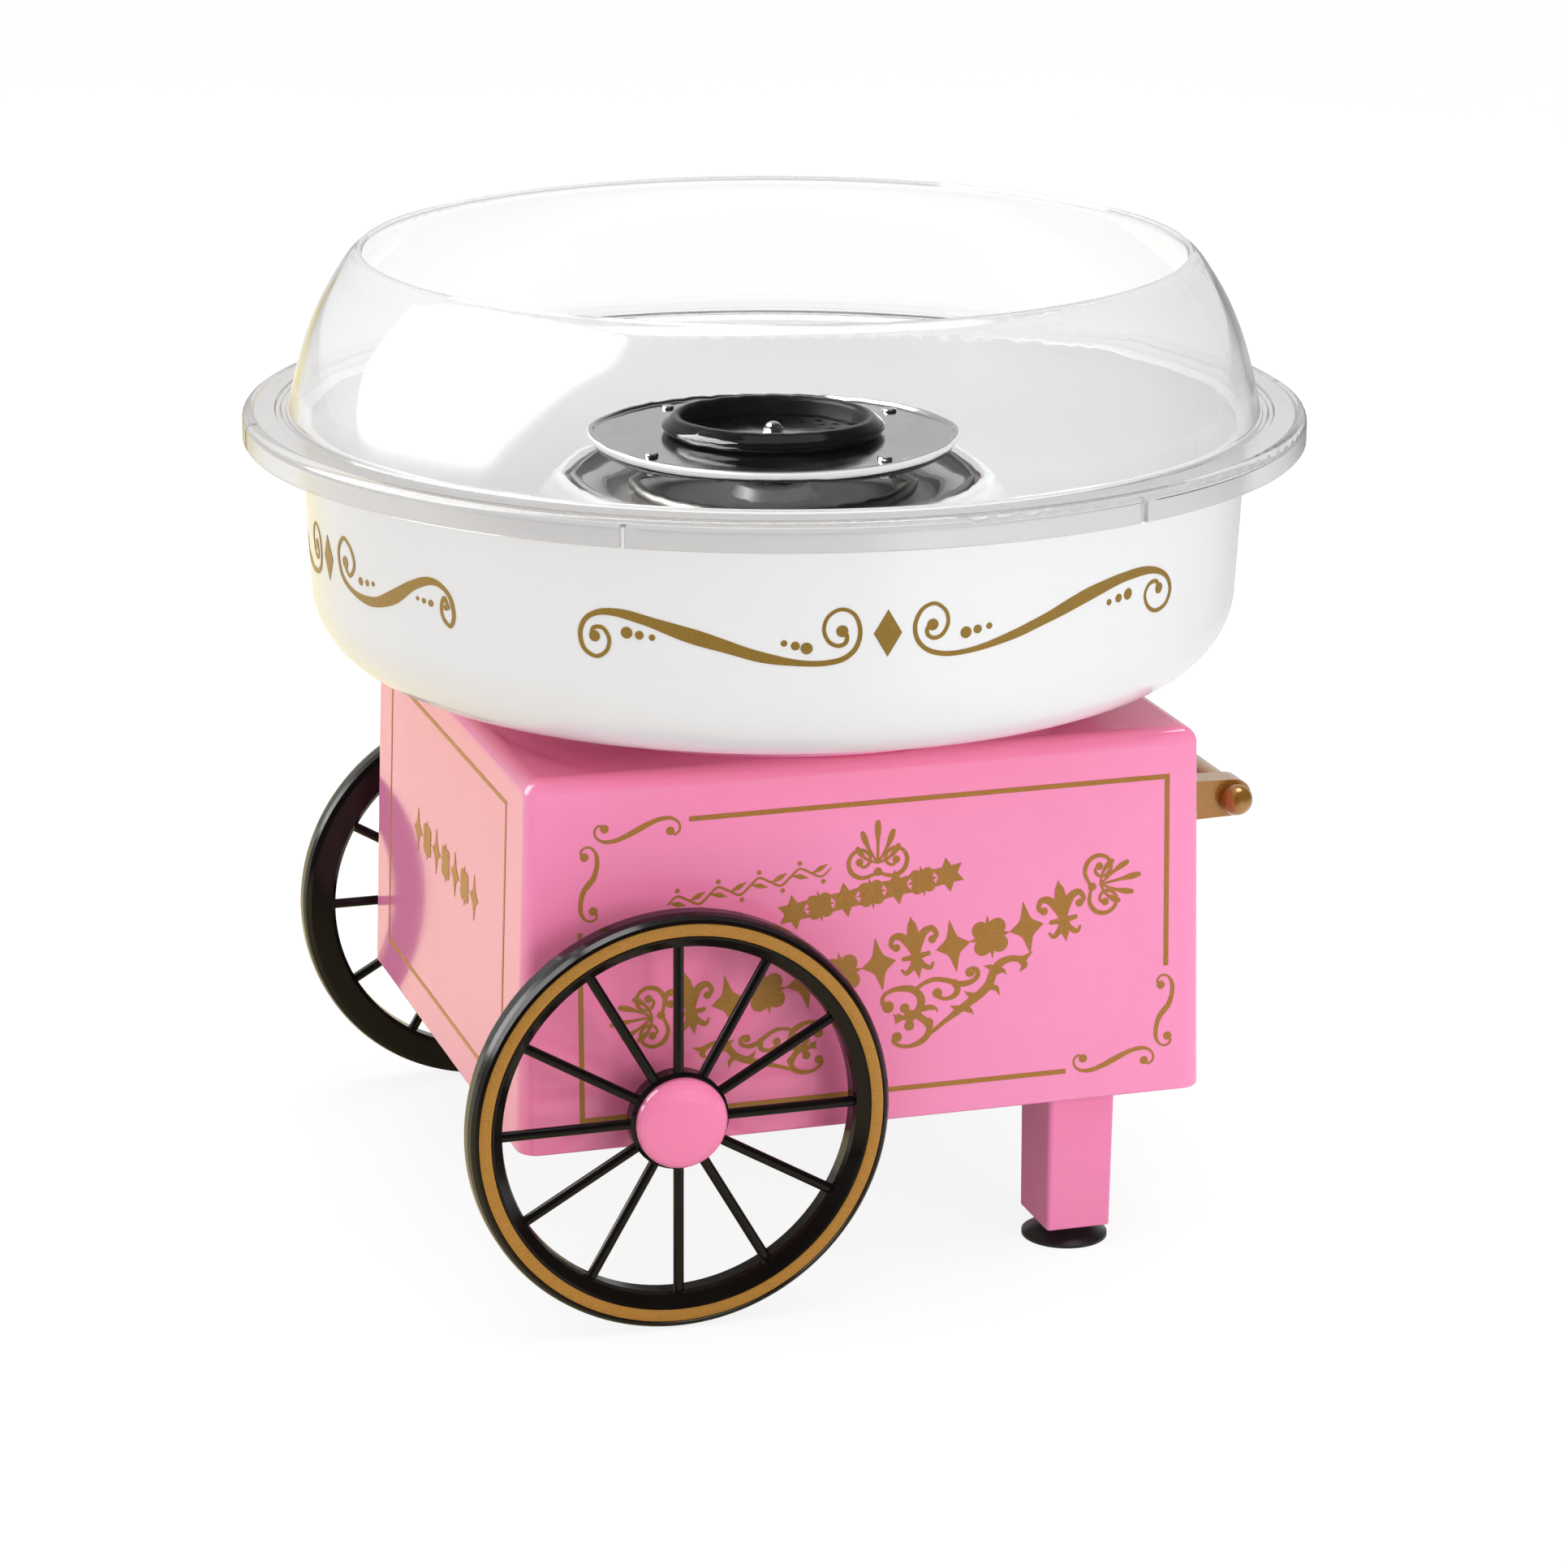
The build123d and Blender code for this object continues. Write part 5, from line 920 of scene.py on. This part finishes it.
def front_print():
    shapes = [FRAME_TOP, FRAME_RIGHT, frame_bottom(57.4, -81.0), FRAME_LEFT] + corner_scrolls()
    for at, turn in (((2.9, 115.6), 0.0), ((63.6, 106.6), -80.0), ((-57.2, 82.2), 96.0)):
        shapes += place(palmette(), at=at, turn=turn)
    shapes += broad_row() + narrow_row()
    shapes += place(vine(46.0, waves=4, swing=1.7, width=0.6), at=(-56.0, 112.6),
                    turn=ROW_RISE - 1.0)
    rising = filigree()
    pivot = np.array([-2.0, 66.0])  # the smaller mirrored filigree is turned about this
    shapes += rising
    shapes += place([shape - pivot for shape in rising], at=(-5.0, 65.2), turn=17.0, size=0.82,
                    mirror=True)
    return shapes


def back_print():
    """The front's frame with a gap in its bottom line, and one large palmette."""
    shapes = [FRAME_TOP, FRAME_RIGHT, FRAME_LEFT, frame_bottom(57.4, -11.0),
              frame_bottom(-37.0, -81.0)] + corner_scrolls()
    return shapes + place(palmette(), at=(2.9, 108.0), size=1.3)


def end_frame(centre):
    half, low, high, width = 66.5, 57.5, 138.0, 1.2
    left, right = centre - half, centre + half
    return ([line((left, z), (right, z), width) for z in (low, high)]
            + [line((x, low - width / 2), (x, high + width / 2), width) for x in (left, right)])


def left_end_print():
    shapes = end_frame(-1.0)
    for i in range(-3, 4):
        motif = lozenge(4.7, 6.6) if i % 2 else quatrefoil(5.6)
        shapes += place(motif, at=(11.0 * i, 101.5))
    return shapes


for name, shapes, surface in (
    ("front_panel_print", front_print(), on_front),
    ("back_panel_print", back_print(), on_back),
    ("left_end_print", left_end_print(), on_left_end),
    ("right_end_print", end_frame(0.0), on_right_end),
):
    lay(name, shapes, surface, "base", "gold_ink_box")


# ---------------------------------------------------------------------------
# gold stripe round each wheel
# ---------------------------------------------------------------------------
STRIPE_SEGMENTS = 240
STRIPE_BED_DEPTH = 0.4  # the bed lies this far inside the wheel's outermost face
# (radius, height above the bed)
STRIPE_PROFILE = ((52.46, -0.05), (52.46, 0.16), (52.62, 0.24), (53.4, 0.31), (54.1, 0.33),
                  (54.8, 0.31), (55.58, 0.24), (55.74, 0.16), (55.74, -0.05))


def wheel_stripe(wheel, side):
    """Turns the profile about the wheel's axle; side is -1 at the front and 1 at the back."""
    low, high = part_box(wheel)
    centre_x, centre_z = (low.x + high.x) / 2 / MM, (low.z + high.z) / 2 / MM
    bed = abs(low.y if side < 0 else high.y) / MM - STRIPE_BED_DEPTH
    count = len(STRIPE_PROFILE)
    verts, faces = [], []
    for i in range(STRIPE_SEGMENTS):
        angle = 2 * math.pi * i / STRIPE_SEGMENTS
        for radius, height in STRIPE_PROFILE:
            verts.append(((centre_x + radius * math.cos(angle)) * MM,
                          side * (bed + height) * MM,
                          (centre_z + radius * math.sin(angle)) * MM))
        here, ahead = i * count, (i + 1) % STRIPE_SEGMENTS * count
        for a in range(count):
            b = (a + 1) % count
            faces.append((here + a, here + b, ahead + b, ahead + a))
    name = wheel + "_stripe"
    mesh = bpy.data.meshes.new(name)
    mesh.from_pydata(verts, [], faces)
    mesh.update()
    bm = bmesh.new()
    bm.from_mesh(mesh)
    bmesh.ops.recalc_face_normals(bm, faces=bm.faces)
    bm.to_mesh(mesh)
    bm.free()
    add_print(name, mesh, 50, "gold_ink_wheel", wheel)


wheel_stripe("wheel_near", -1)
wheel_stripe("wheel_far", 1)


# ---------------------------------------------------------------------------
# studio floor
# ---------------------------------------------------------------------------
FLOOR_RADIUS, FLOOR_SEGMENTS = 24.0, 64


def floor_material():
    """The eye sees the floor nearly white; reflections see painted light and shade on it, bright
    behind and dim in front.
    """
    m = new_material("studio_floor")
    path = m.light_path()
    grain = m.noise(3.0, detail=2.0)
    faint = m.shader("ShaderNodeBsdfDiffuse", Color=m.mix(m.span(grain), grey(0.165), grey(0.172)))
    seen = m.node("ShaderNodeAddShader")
    m.put(seen.inputs[0], faint)
    m.put(seen.inputs[1], m.shader("ShaderNodeEmission", Strength=0.855))

    x, y = m.axes()[:2]
    lit = m.shader("ShaderNodeBsdfDiffuse", Color=grey(0.66))
    # painted light and shade that reflections see: cream and yellow at the left, white behind,
    # dark in front and grey to the right
    beside = m.mix(m.span(x, start=-0.55, end=-0.28), (0.90, 0.89, 0.85, 1),
                   (0.89, 0.80, 0.47, 1))
    behind = m.mix(m.span(x, low=1.0, high=0.0, start=-0.08, end=0.12), grey(0.95), beside)
    before = m.mix(m.span(x, start=0.03, end=0.2), (0.08, 0.08, 0.083, 1), grey(0.85))
    colour = m.mix(m.span(y, start=-0.45, end=-0.02), before, behind)
    colour = m.mix(m.span(x, start=0.1, end=0.6), colour, (0.42, 0.42, 0.43, 1))
    reflected = m.shader("ShaderNodeBsdfDiffuse", Color=colour)

    # a ray through the clear guard counts as seen, unless something mirrored it first
    straight = m.calc("MULTIPLY", path["Is Transmission Ray"],
                      m.calc("LESS_THAN", path["Glossy Depth"], 0.5))
    mirrored = m.calc("MULTIPLY", path["Is Transmission Ray"],
                      m.calc("GREATER_THAN", path["Glossy Depth"], 0.5))
    others = m.mix_shader(m.calc("MAXIMUM", path["Is Glossy Ray"], mirrored), lit, reflected)
    top = m.mix_shader(m.calc("MAXIMUM", path["Is Camera Ray"], straight), others,
                       seen.outputs[0])
    below = m.shader("ShaderNodeBsdfTransparent")
    backfacing = m.node("ShaderNodeNewGeometry").outputs["Backfacing"]
    return m.surface(m.mix_shader(backfacing, top, below))


def add_floor():
    angles = [2 * math.pi * i / FLOOR_SEGMENTS for i in range(FLOOR_SEGMENTS)]
    rim = [(FLOOR_RADIUS * math.cos(a), FLOOR_RADIUS * math.sin(a), 0) for a in angles]
    faces = [(0, 1 + i, 1 + (i + 1) % FLOOR_SEGMENTS) for i in range(FLOOR_SEGMENTS)]
    mesh = bpy.data.meshes.new("studio_floor")
    mesh.from_pydata([(0, 0, 0)] + rim, [], faces)
    mesh.materials.append(floor_material())
    floor = bpy.data.objects.new("studio_floor", mesh)
    scene.collection.objects.link(floor)


add_floor()


# ---------------------------------------------------------------------------
# world
# ---------------------------------------------------------------------------
BRIGHT = Vector((-0.45, 0.85, -0.28)).normalized()  # the bright end of what reflections see


def build_world():
    """Even light for surfaces, white for the eye, and a bright-to-dim sweep in reflections."""
    w = Nodes(bpy.data.worlds.new("studio_world"), "ShaderNodeOutputWorld", "Generated")
    away = w.node("ShaderNodeVectorMath", operation="DOT_PRODUCT")
    w.put(away.inputs[0], w.position)
    away.inputs[1].default_value = tuple(-BRIGHT)
    sweep = w.span(away.outputs["Value"], low=1.0, high=0.045, start=-0.60, end=0.42,
                   curve="SMOOTHSTEP")
    path = w.light_path()
    even = w.shader("ShaderNodeBackground", Strength=0.72)
    seen = w.shader("ShaderNodeBackground", Strength=1.05)
    reflected = w.shader("ShaderNodeBackground", Strength=sweep)
    deep = w.calc("GREATER_THAN", path["Glossy Depth"], 0.5)
    mirrored = w.calc("MULTIPLY", path["Is Transmission Ray"], deep)
    shiny = w.calc("MAXIMUM", path["Is Glossy Ray"], mirrored)
    straight = w.calc("SUBTRACT", path["Is Transmission Ray"], mirrored)
    others = w.mix_shader(shiny, even, reflected)
    direct = w.calc("MAXIMUM", path["Is Camera Ray"], straight)
    return w.surface(w.mix_shader(direct, others, seen))


scene.world = build_world()


# ---------------------------------------------------------------------------
# lamps and reflectors
# ---------------------------------------------------------------------------
LAMP_TARGET = Vector((0, 0, 0.10))


def aim(thing, direction):
    """Points a lamp or camera along a direction."""
    thing.rotation_mode = "QUATERNION"
    thing.rotation_quaternion = direction.to_track_quat("-Z", "Y")


def add_lamp(name, at, size, power, colour=(1, 1, 1)):
    """A rectangular area lamp that reflections and the clear guard do not show."""
    light = bpy.data.lights.new(name, "AREA")
    light.shape = "RECTANGLE"
    light.size, light.size_y = size
    light.energy = power
    light.color = colour
    lamp = bpy.data.objects.new(name, light)
    lamp.location = at
    aim(lamp, LAMP_TARGET - Vector(at))
    scene.collection.objects.link(lamp)
    lamp.visible_glossy = False
    lamp.visible_transmission = False


add_lamp("key", at=(0.95, -2.35, 0.75), size=(1.5, 1.2), power=25.5)
add_lamp("fill_left", at=(-2.3, 0.4, 0.8), size=(1.4, 1.2), power=12.5, colour=(1.0, 0.95, 0.88))
add_lamp("top", at=(0.1, 0.1, 2.4), size=(2.0, 2.0), power=44.0)


def reflector_material(name, strength, inside):
    """A glow that fades at the edge; inside multiplies it for rays within the guard."""
    m = new_material(name)
    fade = m.node("ShaderNodeAttribute", attribute_name="fade").outputs["Fac"]
    within = m.calc("GREATER_THAN", m.light_path()["Transmission Depth"], 1.5)
    gain = m.calc("ADD", strength, m.calc("MULTIPLY", within, strength * (inside - 1.0)))
    glow = m.shader("ShaderNodeEmission", Strength=m.calc("MULTIPLY", fade, gain))
    return m.surface(m.mix_shader(fade, m.shader("ShaderNodeBsdfTransparent"), glow))


def add_reflector(name, azimuth, elevation, distance, outline, strength, soft, inside):
    """A soft-edged white card seen only in reflections.

    The outline is in metres about its middle; soft is half the width of the faded edge.
    """
    turn, rise = math.radians(azimuth), math.radians(elevation)
    outward = Vector((math.cos(turn) * math.cos(rise), math.sin(turn) * math.cos(rise),
                      math.sin(rise)))
    centre = outward * distance + Vector((0, 0, 0.2))
    across = Vector((0, 0, 1)).cross(-outward).normalized()
    upward = (-outward).cross(across)
    edge = smooth(list(outline) + [outline[0]], per=6)[:-1]
    middle = edge.mean(0)
    away = (edge - middle) / np.linalg.norm(edge - middle, axis=1)[:, None]
    flat = list(edge + away * soft) + list(edge - away * soft) + [middle]
    count = len(edge)
    verts = [tuple(centre + across * float(x) + upward * float(y)) for x, y in flat]
    faces = [(i, (i + 1) % count, count + (i + 1) % count, count + i) for i in range(count)]
    faces += [(count + i, count + (i + 1) % count, 2 * count) for i in range(count)]
    mesh = bpy.data.meshes.new(name)
    mesh.from_pydata(verts, [], faces)
    fade = mesh.attributes.new("fade", "FLOAT", "POINT")
    fade.data.foreach_set("value", [0.0] * count + [1.0] * (count + 1))
    mesh.materials.append(reflector_material(name, strength, inside))
    reflector = bpy.data.objects.new(name, mesh)
    scene.collection.objects.link(reflector)
    reflector.visible_camera = False
    reflector.visible_diffuse = False
    reflector.visible_shadow = False
    reflector.visible_transmission = False
    reflector.visible_volume_scatter = False


# outlines as (across, up) in metres
LEFT_OUTLINE = (
    (1.05, 0.85), (1.08, 0.22), (1.2, -0.2), (1.28, -0.5), (1.2, -0.72), (0.9, -0.76),
    (0.38, -0.70), (-0.07, -0.64), (-0.30, -0.58), (-0.42, -0.4), (-0.55, -0.11),
    (-0.61, 0.25), (-0.63, 0.66), (-0.5, 0.88), (0.0, 1.0), (0.6, 1.0))
TOP_OUTLINE = ((1.0, 0.26), (-1.0, 0.26), (-1.0, -0.26), (1.0, -0.26))
add_reflector("reflector_left", azimuth=176.0, elevation=28.0, distance=1.6,
              outline=LEFT_OUTLINE, strength=8.0, soft=0.07, inside=3.5)
add_reflector("reflector_top", azimuth=-90.0, elevation=88.0, distance=1.9,
              outline=TOP_OUTLINE, strength=9.0, soft=0.10, inside=0.15)


# ---------------------------------------------------------------------------
# camera: in front, a little left and above
# ---------------------------------------------------------------------------
def add_camera(azimuth, elevation):
    """Angles in degrees give the direction from the machine back to the camera."""
    lens = bpy.data.cameras.new("photo_camera")
    lens.sensor_width = 36.0
    lens.lens = 108.880789
    lens.shift_x = 0.06528
    lens.shift_y = -0.00538
    lens.clip_start = 0.01
    lens.clip_end = 200.0
    camera = bpy.data.objects.new("photo_camera", lens)
    turn, rise = math.radians(azimuth), math.radians(elevation)
    backward = Vector((math.sin(turn) * math.cos(rise), -math.cos(turn) * math.cos(rise),
                       math.sin(rise)))
    camera.location = (-0.390507, -1.235749, 0.504195)
    aim(camera, -backward)
    scene.collection.objects.link(camera)
    scene.camera = camera


add_camera(azimuth=-16.407, elevation=16.555)

scene.view_settings.view_transform = "Standard"
scene.view_settings.look = "None"
scene.view_settings.exposure = 0.0
scene.view_settings.gamma = 1.0
